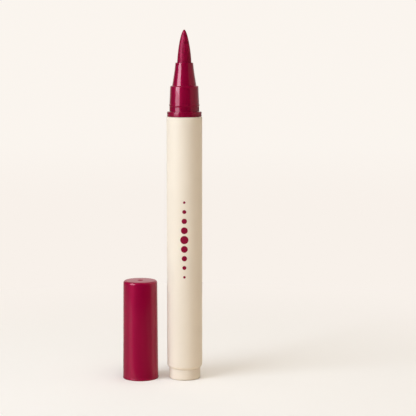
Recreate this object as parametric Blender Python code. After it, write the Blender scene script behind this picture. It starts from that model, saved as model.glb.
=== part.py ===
"""A twist-feed nail polish pen, standing on its tail with its cap beside it.

Lengths are in metres and +Z is up. The origin is on the floor, in the middle of
the pen's tail, and the cap stands on its mouth at -X.
"""

import math

import bmesh
import bpy

# Facets
OUTER_SEGMENTS = 40
INNER_SEGMENTS = 28
PIPE_SEGMENTS = 16
SEAL_SIDES = 6
BALL_RINGS = 8
FILLET_STEPS = 2
ARC_STEPS = 6
CURVE_STEPS = 5
WELD_DISTANCE = 0.000001
SHARP_ANGLE = math.radians(32)

# Clearances between neighbours
SEAT_GAP = 0.0002
FIT_GAP = 0.0002
DIAL_GAP = 0.0003
CUT_OVERRUN = 0.0005

# Barrel
BARREL_RADIUS = 0.00625
BARREL_LENGTH = 0.0895
BARREL_WALL = 0.001
BARREL_TOP_CHAMFER = 0.0003
BARREL_BEVEL_WIDTH = 0.0007
BARREL_BEVEL_HEIGHT = 0.0009
SHOULDER_REACH = 0.0008
SHOULDER_HEIGHT = 0.0008
RIB_COUNT = 4
RIB_DEPTH = 0.0003
RIB_WIDTH = 0.001
SNAP_REACH = 0.0003
SNAP_LENGTH = 0.001

# Tail dial
DIAL_INSET = 0.00073
DIAL_HEIGHT = 0.0036
DIAL_EDGE = 0.0006
DIAL_TOP_EDGE = 0.00015
DIAL_FLOOR = 0.003
DIAL_NECK_LENGTH = 0.0076
DIAL_NECK_WALL = 0.0009
DIAL_SOCKET_WALL = 0.0007
DIAL_SNAP_HEIGHT = 0.0034

# Ratchet
TOOTH_COUNT = 16
TOOTH_DEPTH = 0.00045
TOOTH_STEEP_SHARE = 0.08
RATCHET_WALL = 0.00035
RATCHET_HEIGHT = 0.0045
PAWL_COUNT = 4
PAWL_THICKNESS = 0.00035
PAWL_SWEEP = math.radians(62)
PAWL_ROOT_SWEEP = math.radians(12)
PAWL_HUB_WALL = 0.0004

# Drive sleeve, screw rod and its nut
SLEEVE_WALL = 0.0005
SLEEVE_FLAT_DEPTH = 0.0004
COLLAR_REACH = 0.0006
COLLAR_HEIGHT = 0.0014
ROD_FLAT_DEPTH = 0.0005
ROD_TAIL_GAP = 0.0005
KEY_ENGAGEMENT = 0.0035
ROD_HEAD_INSET = 0.0003
ROD_NECK_INSET = 0.0008
ROD_HEAD_HEIGHT = 0.0016
NUT_HEIGHT = 0.0045
NUT_SKIRT_WALL = 0.0006
NUT_KEY_LENGTH = 0.0025

# Tank, piston and balls
TANK_WALL = 0.00085
PISTON_PARK_GAP = 0.0004
PISTON_LENGTH = 0.0064
PISTON_LAND = 0.0009
PISTON_LIP = 0.0012
PISTON_NOSE_CHAMFER = 0.0004
PISTON_WAIST_DEPTH = 0.0005
SOCKET_LIP = 0.0008
SOCKET_LIP_GAP = 0.00025
SEAL_THICKNESS = 0.0008
BALL_RADIUS = 0.0015
BALL_TRAVEL = 0.003
BALL_STOP_GAP = 0.0003

# Pipe joint and feed pipe
PLUG_LENGTH = 0.004
FUNNEL_RADIUS = 0.0024
FUNNEL_DEPTH = 0.0018
JOINT_FLANGE = 0.0012
JOINT_NECK_WALL = 0.0009
JOINT_CUP_WALL = 0.0007
JOINT_CUP_DEPTH = 0.0014
JOINT_CUP_FLOOR = 0.0012
PIPE_RADIUS = 0.0009
PIPE_WALL = 0.0003
PIPE_LEDGE = 0.0006
PIPE_REACH = 0.0065

# Front section
SHANK_LENGTH = 0.0056
SHANK_SNAP_HEIGHT = 0.002
FRONT_WALL = 0.0011
FRONT_ROOF = 0.0014
FLANGE_INSET = 0.0002
FLANGE_HEIGHT = 0.00155
FLANGE_EDGE = 0.0002
FLANGE_GROOVE = 0.0001
NECK_INSET = 0.0001
NECK_HEIGHT = 0.0019
BEAD_REACH = 0.00012
BEAD_LENGTH = 0.0007
SEAT_DRAFT = 0.00025
SEAT_HEIGHT = 0.0064
SEAT_EDGE = 0.00035
SEAL_STEP = 0.00066
CONE_DRAFT = 0.00114
CONE_HEIGHT = 0.00805
CONE_EDGE = 0.00015
CONE_LIP = 0.00063
CONE_FLARE_POWER = 1.25

# Nib
NIB_BULGE_POWER = 1.45
NIB_TIP_POWER = 0.59
NIB_STEPS = 10
NIB_CHAMFER = 0.0003

# Cap
CAP_STAND_GAP = 0.00323
CAP_LENGTH = 0.0352
CAP_MOUTH_PROUD = 0.00002
CAP_DRAFT = 0.00026
CAP_EDGE = 0.0005
CAP_TOP_WALL = 0.0012
CAP_SIDE_WALL = 0.00105
CAP_MOUTH_WALL = 0.00087
CAP_HEADROOM = 0.0049
CAP_LIP_REACH = 0.00008
CAP_LIP_HEIGHT = 0.0006
CAP_LEAD_IN = 0.00025
CAP_BORE_GAP = 0.00022
CAP_SNAP_REACH = 0.00014
CAP_SNAP_HEIGHT = 0.0007
CAP_SNAP_LENGTH = 0.0006
GATE_RADIUS = 0.00045
GATE_DEPTH = 0.00012
STOP_RIB_HEIGHT = 0.0006
STOP_RIB_GAP = 0.0003

# Inner cap and its spring
INNER_PRESS = 0.001
INNER_MOUTH_WALL = 0.00025
INNER_LUG_HEIGHT = 0.001
INNER_BODY_WALL = 0.0006
INNER_TOP_WALL = 0.0008
INNER_EDGE = 0.0005
NIB_TIP_GAP = 0.0007
SPRING_WIRE = 0.00044
SPRING_TURNS = 7
SPRING_TURN_POINTS = 10
SPRING_BEND_POINTS = 3
SPRING_SIDE_GAP = 0.00027
SPRING_LEAST_GAP = 0.0004

# Radii of the outside, worked inward from the barrel's side
DIAL_RADIUS = BARREL_RADIUS - DIAL_INSET
FLANGE_RADIUS = BARREL_RADIUS - FLANGE_INSET
CAP_MOUTH_RADIUS = BARREL_RADIUS + CAP_MOUTH_PROUD
CAP_TOP_RADIUS = CAP_MOUTH_RADIUS - CAP_DRAFT
CAP_BORE_RADIUS = CAP_MOUTH_RADIUS - CAP_MOUTH_WALL
CAP_CEILING_RADIUS = CAP_TOP_RADIUS - CAP_SIDE_WALL
CAP_DISTANCE = BARREL_RADIUS + CAP_STAND_GAP + CAP_MOUTH_RADIUS
SEAT_FOOT_RADIUS = CAP_BORE_RADIUS - CAP_BORE_GAP
SEAT_TOP_RADIUS = SEAT_FOOT_RADIUS - SEAT_DRAFT
BEAD_RADIUS = SEAT_FOOT_RADIUS + BEAD_REACH
NECK_RADIUS = BEAD_RADIUS - NECK_INSET
CONE_FOOT_RADIUS = SEAT_TOP_RADIUS - SEAL_STEP
CONE_TOP_RADIUS = CONE_FOOT_RADIUS - CONE_DRAFT
NIB_RADIUS = CONE_TOP_RADIUS - CONE_LIP

# Radii of the inner pieces, worked inward from the barrel's wall
BORE_RADIUS = BARREL_RADIUS - BARREL_WALL
PACK_RADIUS = BORE_RADIUS - FIT_GAP
SNAP_RADIUS = PACK_RADIUS + SNAP_REACH
KEYWAY_RADIUS = PACK_RADIUS - RIB_DEPTH
KEYWAY_WIDTH = RIB_WIDTH + 2 * FIT_GAP
ROOT_RADIUS = KEYWAY_RADIUS - RATCHET_WALL
TIP_RADIUS = ROOT_RADIUS - TOOTH_DEPTH
PAWL_OUTER_RADIUS = TIP_RADIUS - FIT_GAP
PAWL_INNER_RADIUS = PAWL_OUTER_RADIUS - PAWL_THICKNESS
HUB_RADIUS = PAWL_INNER_RADIUS - FIT_GAP
SLEEVE_RADIUS = HUB_RADIUS - PAWL_HUB_WALL - FIT_GAP
SLEEVE_FLAT = SLEEVE_RADIUS - SLEEVE_FLAT_DEPTH
ROD_RADIUS = SLEEVE_RADIUS - SLEEVE_WALL - FIT_GAP
ROD_FLAT = ROD_RADIUS - ROD_FLAT_DEPTH
ROD_HEAD_RADIUS = ROD_RADIUS - ROD_HEAD_INSET
ROD_NECK_RADIUS = ROD_RADIUS - ROD_NECK_INSET
TANK_RADIUS = PACK_RADIUS - TANK_WALL
PISTON_RADIUS = TANK_RADIUS - FIT_GAP
SEAL_GROOVE_RADIUS = PISTON_RADIUS - SEAL_THICKNESS - FIT_GAP
SEAL_GROOVE_LENGTH = SEAL_THICKNESS + 2 * FIT_GAP

# Heights of what stacks up from the tail
BARREL_BOTTOM = DIAL_HEIGHT + DIAL_GAP
BARREL_TOP = BARREL_BOTTOM + BARREL_LENGTH
DIAL_NECK_TOP = DIAL_HEIGHT + DIAL_NECK_LENGTH
SHOULDER_BOTTOM = DIAL_NECK_TOP + SEAT_GAP
SHOULDER_TOP = SHOULDER_BOTTOM + SHOULDER_HEIGHT
RATCHET_BOTTOM = SHOULDER_TOP + SEAT_GAP
RATCHET_TOP = RATCHET_BOTTOM + RATCHET_HEIGHT
PAWL_BOTTOM = RATCHET_BOTTOM + SEAT_GAP
PAWL_TOP = RATCHET_TOP - SEAT_GAP
SLEEVE_BOTTOM = DIAL_FLOOR + SEAT_GAP
NUT_BOTTOM = RATCHET_TOP + SEAT_GAP

# Heights of what hangs down from the front section
SHANK_BOTTOM = BARREL_TOP + SEAT_GAP - SHANK_LENGTH
JOINT_FLANGE_TOP = SHANK_BOTTOM - SEAT_GAP
PLUG_TOP = JOINT_FLANGE_TOP - JOINT_FLANGE
PLUG_BOTTOM = PLUG_TOP - PLUG_LENGTH
TANK_TOP = PLUG_TOP - SEAT_GAP

# The rod's travel fills half of what the mechanism and the balls leave free
MECHANISM_LENGTH = ROD_TAIL_GAP + KEY_ENGAGEMENT + SEAT_GAP + NUT_HEIGHT + PISTON_PARK_GAP
BALL_SPACE = SEAT_GAP + 2 * BALL_RADIUS + BALL_TRAVEL + BALL_STOP_GAP
FEED_SPACE = PLUG_BOTTOM - SLEEVE_BOTTOM - MECHANISM_LENGTH - PISTON_LENGTH - BALL_SPACE
FEED_TRAVEL = FEED_SPACE / 2
ROD_BOTTOM = SLEEVE_BOTTOM + ROD_TAIL_GAP
SLEEVE_TOP = ROD_BOTTOM + FEED_TRAVEL + KEY_ENGAGEMENT
NUT_WEB_BOTTOM = SLEEVE_TOP + SEAT_GAP
NUT_TOP = NUT_WEB_BOTTOM + NUT_HEIGHT
TANK_BOTTOM = NUT_TOP + SEAT_GAP
PISTON_BOTTOM = NUT_TOP + PISTON_PARK_GAP
BALL_BOTTOM = PISTON_BOTTOM + PISTON_LENGTH + SEAT_GAP

# Front section's own heights, from the shank's lower end
FLANGE_BOTTOM = SHANK_LENGTH
FLANGE_TOP = FLANGE_BOTTOM + FLANGE_HEIGHT
BEAD_BOTTOM = FLANGE_TOP + NECK_HEIGHT
BEAD_TOP = BEAD_BOTTOM + BEAD_LENGTH
SEAT_TOP = BEAD_TOP + SEAT_HEIGHT
CONE_TOP = SEAT_TOP + CONE_HEIGHT
ROOF_BOTTOM = SEAT_TOP - FRONT_ROOF
FRONT_BORE_RADIUS = NECK_RADIUS - FRONT_WALL
NIB_BORE_RADIUS = NIB_RADIUS + FIT_GAP

# Pipe joint's own heights, from the plug's lower end
CUP_TOP = SHANK_BOTTOM + ROOF_BOTTOM - SEAT_GAP - PLUG_BOTTOM
CUP_BOTTOM = CUP_TOP - JOINT_CUP_DEPTH
CUP_UNDERSIDE = CUP_BOTTOM - JOINT_CUP_FLOOR
CUP_RADIUS = NIB_BORE_RADIUS + JOINT_CUP_WALL
PIPE_BORE_RADIUS = PIPE_RADIUS + FIT_GAP
PIPE_LEDGE_TOP = FUNNEL_DEPTH + PIPE_LEDGE
PIPE_BOTTOM = PLUG_BOTTOM + PIPE_LEDGE_TOP + SEAT_GAP
NIB_BOTTOM = PLUG_BOTTOM + CUP_BOTTOM + SEAT_GAP
NIB_STEM = SHANK_BOTTOM + CONE_TOP - NIB_BOTTOM
PIPE_TOP = NIB_BOTTOM + PIPE_REACH

# Cap's own heights, from its mouth
CAP_CEILING = CAP_LENGTH - CAP_TOP_WALL
STOP_RIB_BOTTOM = SEAT_TOP - FLANGE_TOP + STOP_RIB_GAP
STOP_RIB_TOP = STOP_RIB_BOTTOM + STOP_RIB_HEIGHT
INNER_BOTTOM = SEAT_TOP - FLANGE_TOP - INNER_PRESS
INNER_LUG_BOTTOM = STOP_RIB_TOP + SEAT_GAP - INNER_BOTTOM
INNER_LUG_TOP = INNER_LUG_BOTTOM + INNER_LUG_HEIGHT
INNER_LUG_RADIUS = CAP_BORE_RADIUS - FIT_GAP
INNER_LUG_REACH = INNER_BOTTOM + INNER_LUG_TOP + INNER_PRESS
INNER_MOUTH_BORE = CONE_FOOT_RADIUS + FIT_GAP
INNER_MOUTH_RADIUS = INNER_MOUTH_BORE + INNER_MOUTH_WALL
STOP_RIB_RADIUS = INNER_MOUTH_RADIUS + FIT_GAP
INNER_STEP = CONE_HEIGHT
INNER_STEP_BORE = CONE_TOP_RADIUS + FIT_GAP
INNER_BODY_RADIUS = INNER_STEP_BORE + INNER_BODY_WALL
INNER_TOP = CAP_CEILING - CAP_HEADROOM - INNER_BOTTOM
INNER_CEILING = INNER_TOP - INNER_TOP_WALL
NIB_LENGTH = INNER_CEILING - NIB_TIP_GAP - CONE_HEIGHT
SPRING_BOTTOM = INNER_BOTTOM + INNER_STEP + SEAT_GAP
SPRING_LENGTH = CAP_CEILING - SEAT_GAP - SPRING_BOTTOM
SPRING_RADIUS = INNER_BODY_RADIUS + SPRING_SIDE_GAP + SPRING_WIRE / 2
INNER_SHOULDER_RADIUS = SPRING_RADIUS + SPRING_WIRE / 2


def clear_scene():
    for item in list(bpy.data.objects):
        bpy.data.objects.remove(item)


def make_material(name, colour, roughness, metallic=0.0):
    material = bpy.data.materials.new(name)
    material.use_nodes = True
    shader = material.node_tree.nodes["Principled BSDF"]
    shader.inputs["Base Color"].default_value = (*colour, 1.0)
    shader.inputs["Roughness"].default_value = roughness
    shader.inputs["Metallic"].default_value = metallic
    return material


def make_empty(name, x, parent=None):
    empty = bpy.data.objects.new(name, None)
    empty.location.x = x
    empty.parent = parent
    bpy.context.collection.objects.link(empty)
    return empty


def add_object(name, data, parent, height, material):
    piece = bpy.data.objects.new(name, data)
    piece.parent = parent
    piece.location.z = height
    if material:
        data.materials.append(material)
    bpy.context.collection.objects.link(piece)
    return piece


def mesh_from(name, shape):
    """A closed mesh from a bmesh, facing out and smooth up to its sharp edges."""
    bmesh.ops.remove_doubles(shape, verts=shape.verts, dist=WELD_DISTANCE)
    bmesh.ops.recalc_face_normals(shape, faces=shape.faces)
    mesh = bpy.data.meshes.new(name)
    shape.to_mesh(mesh)
    shape.free()
    mesh.shade_smooth()
    mesh.set_sharp_from_angle(angle=SHARP_ANGLE)
    return mesh


def rounded_corner(before, corner, after, fillet):
    """Points of an arc in place of a corner, limited to half of either side."""
    towards = [(end[0] - corner[0], end[1] - corner[1]) for end in (before, after)]
    lengths = [math.hypot(*side) for side in towards]
    sides = [(x / length, y / length) for (x, y), length in zip(towards, lengths)]
    half_angle = math.acos(sides[0][0] * sides[1][0] + sides[0][1] * sides[1][1]) / 2
    cut = min(fillet / math.tan(half_angle), min(lengths) / 2)
    points = []
    for step in range(FILLET_STEPS + 1):
        turn = (2 * step / FILLET_STEPS - 1) * (math.pi / 2 - half_angle)
        along = math.sin(turn) / math.cos(half_angle)
        inward = 1 - math.cos(turn) * math.sin(half_angle)
        inward = cut * inward / math.cos(half_angle) ** 2
        spread = cut * along
        mean = [(sides[0][axis] + sides[1][axis]) / 2 for axis in (0, 1)]
        apart = [(sides[1][axis] - sides[0][axis]) / 2 for axis in (0, 1)]
        points.append(
            tuple(
                corner[axis] + mean[axis] * inward + apart[axis] * spread
                for axis in (0, 1)
            )
        )
    return points


def rounded(outline):
    """An outline's points, with an arc where a point has a third value, its fillet."""
    points = []
    for index, corner in enumerate(outline):
        if len(corner) == 3:
            before = outline[index - 1]
            after = outline[(index + 1) % len(outline)]
            points += rounded_corner(before, corner, after, corner[2])
        else:
            points.append(corner)
    return points


def turned(name, outline, segments=INNER_SEGMENTS):
    """A mesh turned about Z from (radius, height) points, closed on itself or the axis."""
    points = rounded(outline)
    shape = bmesh.new()
    corners = [shape.verts.new((radius, 0, height)) for radius, height in points]
    edges = [shape.edges.new(pair) for pair in zip(corners, corners[1:])]
    if points[0][0] > 0 or points[-1][0] > 0:
        edges.append(shape.edges.new((corners[-1], corners[0])))
    bmesh.ops.spin(
        shape,
        geom=corners + edges,
        cent=(0, 0, 0),
        axis=(0, 0, 1),
        angle=math.tau,
        steps=segments,
        use_merge=True,
    )
    return mesh_from(name, shape)


def extruded(name, loops, height):
    """A straight mesh of a given height, from an outer loop of points and its holes."""
    shape = bmesh.new()
    edges = []
    for loop in loops:
        corners = [shape.verts.new((x, y, 0)) for x, y in loop]
        edges += [shape.edges.new(pair) for pair in zip(corners, corners[1:] + corners[:1])]
    bmesh.ops.triangle_fill(shape, edges=edges, use_beauty=True)
    grown = bmesh.ops.extrude_face_region(shape, geom=shape.faces[:])
    lifted = [item for item in grown["geom"] if isinstance(item, bmesh.types.BMVert)]
    bmesh.ops.translate(shape, verts=lifted, vec=(0, 0, height))
    return mesh_from(name, shape)


def polar(radius, turn):
    return (radius * math.cos(turn), radius * math.sin(turn))


def arc(radius, start, end, steps=ARC_STEPS):
    return [polar(radius, start + (end - start) * step / steps) for step in range(steps + 1)]


def flatted_circle(radius, flat):
    """A circle with two flats, each at the distance flat from the centre."""
    corner = math.acos(flat / radius)
    return arc(radius, corner, math.pi - corner) + arc(radius, math.pi + corner, math.tau - corner)


def circle(radius, segments=INNER_SEGMENTS):
    return arc(radius, 0, math.tau, segments)[:-1]


def radial_blocks(name, inner_radius, outer_radius, width, height):
    """Straight blocks round the axis, one for each rib, in one mesh."""
    shape = bmesh.new()
    for index in range(RIB_COUNT):
        turn = math.tau * index / RIB_COUNT
        along = (math.cos(turn), math.sin(turn))
        across = (-along[1] * width / 2, along[0] * width / 2)
        corners = []
        for radius, side in (
            (inner_radius, -1),
            (outer_radius, -1),
            (outer_radius, 1),
            (inner_radius, 1),
        ):
            x = along[0] * radius + across[0] * side
            y = along[1] * radius + across[1] * side
            corners.append(shape.verts.new((x, y, 0)))
        shape.faces.new(corners)
    grown = bmesh.ops.extrude_face_region(shape, geom=shape.faces[:])
    lifted = [item for item in grown["geom"] if isinstance(item, bmesh.types.BMVert)]
    bmesh.ops.translate(shape, verts=lifted, vec=(0, 0, height))
    return mesh_from(name, shape)


def add_guide(name, mesh, parent, height):
    """A shape that a Boolean cuts away or joins on, and no piece of its own."""
    guide = add_object(name, mesh, parent, height, None)
    guide.hide_render = True
    guide.display_type = "WIRE"
    return guide


def boolean(piece, operation, guide):
    modifier = piece.modifiers.new(guide.name, "BOOLEAN")
    modifier.operation = operation
    modifier.solver = "EXACT"
    modifier.object = guide


def add_barrel(frame, material):
    """The outer tube, with snap grooves at both ends and keying ribs on a shoulder."""
    groove = SNAP_RADIUS + FIT_GAP
    rear_groove = DIAL_HEIGHT + DIAL_SNAP_HEIGHT - SEAT_GAP - BARREL_BOTTOM
    front_groove = SHANK_BOTTOM + SHANK_SNAP_HEIGHT - SEAT_GAP - BARREL_BOTTOM
    groove_length = SNAP_LENGTH + 2 * SEAT_GAP
    shoulder = BORE_RADIUS - SHOULDER_REACH
    outline = [
        (BARREL_RADIUS - BARREL_TOP_CHAMFER, BARREL_LENGTH),
        (BARREL_RADIUS, BARREL_LENGTH - BARREL_TOP_CHAMFER),
        (BARREL_RADIUS, BARREL_BEVEL_HEIGHT, BARREL_BEVEL_HEIGHT / 2),
        (BARREL_RADIUS - BARREL_BEVEL_WIDTH, 0),
        (BORE_RADIUS, 0),
        (BORE_RADIUS, rear_groove),
        (groove, rear_groove),
        (groove, rear_groove + groove_length),
        (BORE_RADIUS, rear_groove + groove_length),
        (BORE_RADIUS, SHOULDER_BOTTOM - BARREL_BOTTOM),
        (shoulder, SHOULDER_BOTTOM - BARREL_BOTTOM),
        (shoulder, SHOULDER_TOP - BARREL_BOTTOM),
        (BORE_RADIUS, SHOULDER_TOP - BARREL_BOTTOM),
        (BORE_RADIUS, front_groove),
        (groove, front_groove),
        (groove, front_groove + groove_length),
        (BORE_RADIUS, front_groove + groove_length),
        (BORE_RADIUS, BARREL_LENGTH),
    ]
    barrel = add_object("barrel", turned("barrel", outline, OUTER_SEGMENTS), frame, BARREL_BOTTOM, material)
    rib_top = NUT_BOTTOM + NUT_KEY_LENGTH
    rib_bottom = SHOULDER_TOP - SHOULDER_HEIGHT / 2
    ribs = radial_blocks(
        "barrel_ribs",
        BORE_RADIUS - RIB_DEPTH,
        BORE_RADIUS + BARREL_WALL / 2,
        RIB_WIDTH,
        rib_top - rib_bottom,
    )
    boolean(barrel, "UNION", add_guide("barrel_ribs", ribs, frame, rib_bottom))


def add_tail_dial(frame, material):
    """The tail that is turned: a solid foot, a snap neck and the sleeve's socket."""
    socket = SLEEVE_RADIUS + FIT_GAP
    socket_outer = socket + DIAL_SOCKET_WALL
    socket_top = RATCHET_BOTTOM
    snap = DIAL_HEIGHT + DIAL_SNAP_HEIGHT
    ramp = SNAP_LENGTH / 2
    outline = [
        (0, socket_top),
        (socket_outer, socket_top),
        (socket_outer, DIAL_HEIGHT),
        (PACK_RADIUS - DIAL_NECK_WALL, DIAL_HEIGHT),
        (PACK_RADIUS - DIAL_NECK_WALL, DIAL_NECK_TOP),
        (PACK_RADIUS, DIAL_NECK_TOP),
        (PACK_RADIUS, snap + SNAP_LENGTH),
        (SNAP_RADIUS, snap + ramp),
        (SNAP_RADIUS, snap),
        (PACK_RADIUS, snap),
        (PACK_RADIUS, DIAL_HEIGHT),
        (DIAL_RADIUS, DIAL_HEIGHT, DIAL_TOP_EDGE),
        (DIAL_RADIUS, 0, DIAL_EDGE),
        (0, 0),
    ]
    dial = add_object("tail_dial", turned("tail_dial", outline, OUTER_SEGMENTS), frame, 0, material)
    hole = extruded(
        "dial_socket",
        [flatted_circle(socket, SLEEVE_FLAT + FIT_GAP)],
        socket_top - DIAL_FLOOR + CUT_OVERRUN,
    )
    boolean(dial, "DIFFERENCE", add_guide("dial_socket", hole, frame, DIAL_FLOOR))


def slotted_circle(radius, slot_radius, width):
    """A circle with straight slots for the barrel's ribs."""
    outer_half = math.asin(width / 2 / radius)
    slot_half = math.asin(width / 2 / slot_radius)
    pitch = math.tau / RIB_COUNT
    points = []
    for index in range(RIB_COUNT):
        turn = index * pitch
        points += arc(slot_radius, turn - slot_half, turn + slot_half, 1)
        points += arc(radius, turn + outer_half, turn + pitch - outer_half)
    return points


def saw_teeth():
    """The ratchet ring's inner loop: a long ramp inward, then a steep face out again."""
    pitch = math.tau / TOOTH_COUNT
    points = []
    for index in range(TOOTH_COUNT):
        turn = index * pitch
        ramp_end = turn + pitch * (1 - TOOTH_STEEP_SHARE)
        points.append(polar(ROOT_RADIUS, turn))
        points.append(polar(TIP_RADIUS, ramp_end))
    return points


def add_ratchet_ring(frame, material):
    loops = [slotted_circle(PACK_RADIUS, KEYWAY_RADIUS, KEYWAY_WIDTH), saw_teeth()]
    mesh = extruded("ratchet_ring", loops, RATCHET_HEIGHT)
    add_object("ratchet_ring", mesh, frame, RATCHET_BOTTOM, material)


def pawl_outline():
    """Springy arms that trail behind their roots, each tip seated behind a steep face."""
    pitch = math.tau / PAWL_COUNT
    tooth_pitch = math.tau / TOOTH_COUNT
    tip_turn = FIT_GAP / ROOT_RADIUS
    slope_turn = tooth_pitch * (1 - TOOTH_STEEP_SHARE)
    tip_radius = ROOT_RADIUS - FIT_GAP
    points = []
    for index in range(PAWL_COUNT):
        turn = index * pitch
        slot_end = turn + PAWL_SWEEP
        arm_end = slot_end + PAWL_ROOT_SWEEP
        points += arc(HUB_RADIUS, arm_end - pitch, slot_end)
        points += arc(PAWL_INNER_RADIUS, slot_end, turn + tip_turn)
        points.append(polar(tip_radius, turn + tip_turn))
        points += arc(PAWL_OUTER_RADIUS, turn + slope_turn, arm_end)
    return points


def add_click_pawls(frame, material):
    bore = flatted_circle(SLEEVE_RADIUS + FIT_GAP, SLEEVE_FLAT + FIT_GAP)
    mesh = extruded("click_pawls", [pawl_outline(), bore], PAWL_TOP - PAWL_BOTTOM)
    add_object("click_pawls", mesh, frame, PAWL_BOTTOM, material)


def add_drive_sleeve(frame, material):
    """A tube with flats inside for the rod, and outside for the dial and the pawls."""
    bore = flatted_circle(ROD_RADIUS + FIT_GAP, ROD_FLAT + FIT_GAP)
    outside = flatted_circle(SLEEVE_RADIUS, SLEEVE_FLAT)
    middle = flatted_circle(SLEEVE_RADIUS - SLEEVE_WALL / 2, SLEEVE_FLAT - SLEEVE_WALL / 2)
    tube = extruded("drive_sleeve", [outside, bore], SLEEVE_TOP - SLEEVE_BOTTOM)
    sleeve = add_object("drive_sleeve", tube, frame, SLEEVE_BOTTOM, material)
    collar = [circle(SLEEVE_RADIUS + COLLAR_REACH), middle]
    places = (("pawl_collar", PAWL_TOP + SEAT_GAP), ("nut_collar", SLEEVE_TOP - COLLAR_HEIGHT))
    for name, height in places:
        ring = extruded(name, collar, COLLAR_HEIGHT)
        boolean(sleeve, "UNION", add_guide(name, ring, frame, height))


def add_screw_rod(frame, material):
    """The rod with its two flats, and the turned head that the piston snaps over."""
    body_length = PISTON_BOTTOM - SEAT_GAP - ROD_BOTTOM
    body = extruded("screw_rod", [flatted_circle(ROD_RADIUS, ROD_FLAT)], body_length)
    rod = add_object("screw_rod", body, frame, ROD_BOTTOM, material)
    neck_top = body_length + SOCKET_LIP + 2 * SEAT_GAP
    head_top = neck_top + ROD_HEAD_HEIGHT
    outline = [
        (0, head_top),
        (ROD_HEAD_RADIUS, head_top, ROD_HEAD_HEIGHT / 2),
        (ROD_HEAD_RADIUS, neck_top),
        (ROD_NECK_RADIUS, neck_top),
        (ROD_NECK_RADIUS, body_length - CUT_OVERRUN),
        (0, body_length - CUT_OVERRUN),
    ]
    boolean(rod, "UNION", add_guide("rod_head", turned("rod_head", outline), frame, ROD_BOTTOM))


def add_rod_nut(frame, material):
    """The fixed screw guide: a threaded web on a skirt, keyed on the barrel's ribs."""
    height = NUT_TOP - NUT_BOTTOM
    web_bottom = NUT_WEB_BOTTOM - NUT_BOTTOM
    hole = ROD_RADIUS + FIT_GAP
    outline = [
        (hole, height),
        (PACK_RADIUS, height),
        (PACK_RADIUS, 0),
        (PACK_RADIUS - NUT_SKIRT_WALL, 0),
        (PACK_RADIUS - NUT_SKIRT_WALL, web_bottom),
        (hole, web_bottom),
    ]
    nut = add_object("rod_nut", turned("rod_nut", outline), frame, NUT_BOTTOM, material)
    notches = radial_blocks(
        "nut_notches",
        PACK_RADIUS - NUT_SKIRT_WALL - CUT_OVERRUN,
        PACK_RADIUS + CUT_OVERRUN,
        KEYWAY_WIDTH,
        NUT_KEY_LENGTH + SEAT_GAP + CUT_OVERRUN,
    )
    boolean(nut, "DIFFERENCE", add_guide("nut_notches", notches, frame, NUT_BOTTOM - CUT_OVERRUN))


def add_polish_tank(frame, material):
    height = TANK_TOP - TANK_BOTTOM
    outline = [(PACK_RADIUS, height), (PACK_RADIUS, 0), (TANK_RADIUS, 0), (TANK_RADIUS, height)]
    add_object("polish_tank", turned("polish_tank", outline), frame, TANK_BOTTOM, material)


def add_seal(name, frame, height, material):
    """A round ring whose middle is at the given height."""
    middle = PISTON_RADIUS - SEAL_THICKNESS / 2
    section = [
        (middle + x, y) for x, y in arc(SEAL_THICKNESS / 2, 0, -math.tau, SEAL_SIDES)[:-1]
    ]
    add_object(name, turned(name, section), frame, height, material)


def add_piston(frame, material):
    """Three lands, with the seal's groove between the front two, and a rear socket."""
    groove_top = PISTON_LENGTH - PISTON_LAND
    groove_bottom = groove_top - SEAL_GROOVE_LENGTH
    waist_top = groove_bottom - PISTON_LAND
    cavity = ROD_HEAD_RADIUS + FIT_GAP
    cavity_top = SOCKET_LIP + ROD_HEAD_HEIGHT + 2 * SEAT_GAP
    lip = ROD_NECK_RADIUS + SOCKET_LIP_GAP
    waist = PISTON_RADIUS - PISTON_WAIST_DEPTH
    outline = [
        (0, PISTON_LENGTH),
        (PISTON_RADIUS - PISTON_NOSE_CHAMFER, PISTON_LENGTH),
        (PISTON_RADIUS, PISTON_LENGTH - PISTON_NOSE_CHAMFER),
        (PISTON_RADIUS, groove_top),
        (SEAL_GROOVE_RADIUS, groove_top),
        (SEAL_GROOVE_RADIUS, groove_bottom),
        (PISTON_RADIUS, groove_bottom),
        (PISTON_RADIUS, waist_top),
        (waist, waist_top),
        (waist, PISTON_LIP),
        (PISTON_RADIUS, PISTON_LIP),
        (PISTON_RADIUS, 0),
        (lip, 0),
        (lip, SOCKET_LIP),
        (cavity, SOCKET_LIP),
        (cavity, cavity_top),
        (0, cavity_top),
    ]
    add_object("piston", turned("piston", outline), frame, PISTON_BOTTOM, material)
    return PISTON_BOTTOM + groove_bottom + SEAL_GROOVE_LENGTH / 2


def add_mixing_ball(name, x, frame, material):
    rings = range(BALL_RINGS + 1)
    turns = [math.pi / 2 - math.pi * ring / BALL_RINGS for ring in rings]
    outline = [polar(BALL_RADIUS, turn) for turn in turns]
    outline[0] = (0, BALL_RADIUS)
    outline[-1] = (0, -BALL_RADIUS)
    mesh = turned(name, outline, 2 * BALL_RINGS)
    ball = add_object(name, mesh, frame, BALL_BOTTOM + BALL_RADIUS, material)
    ball.location.x = x


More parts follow.
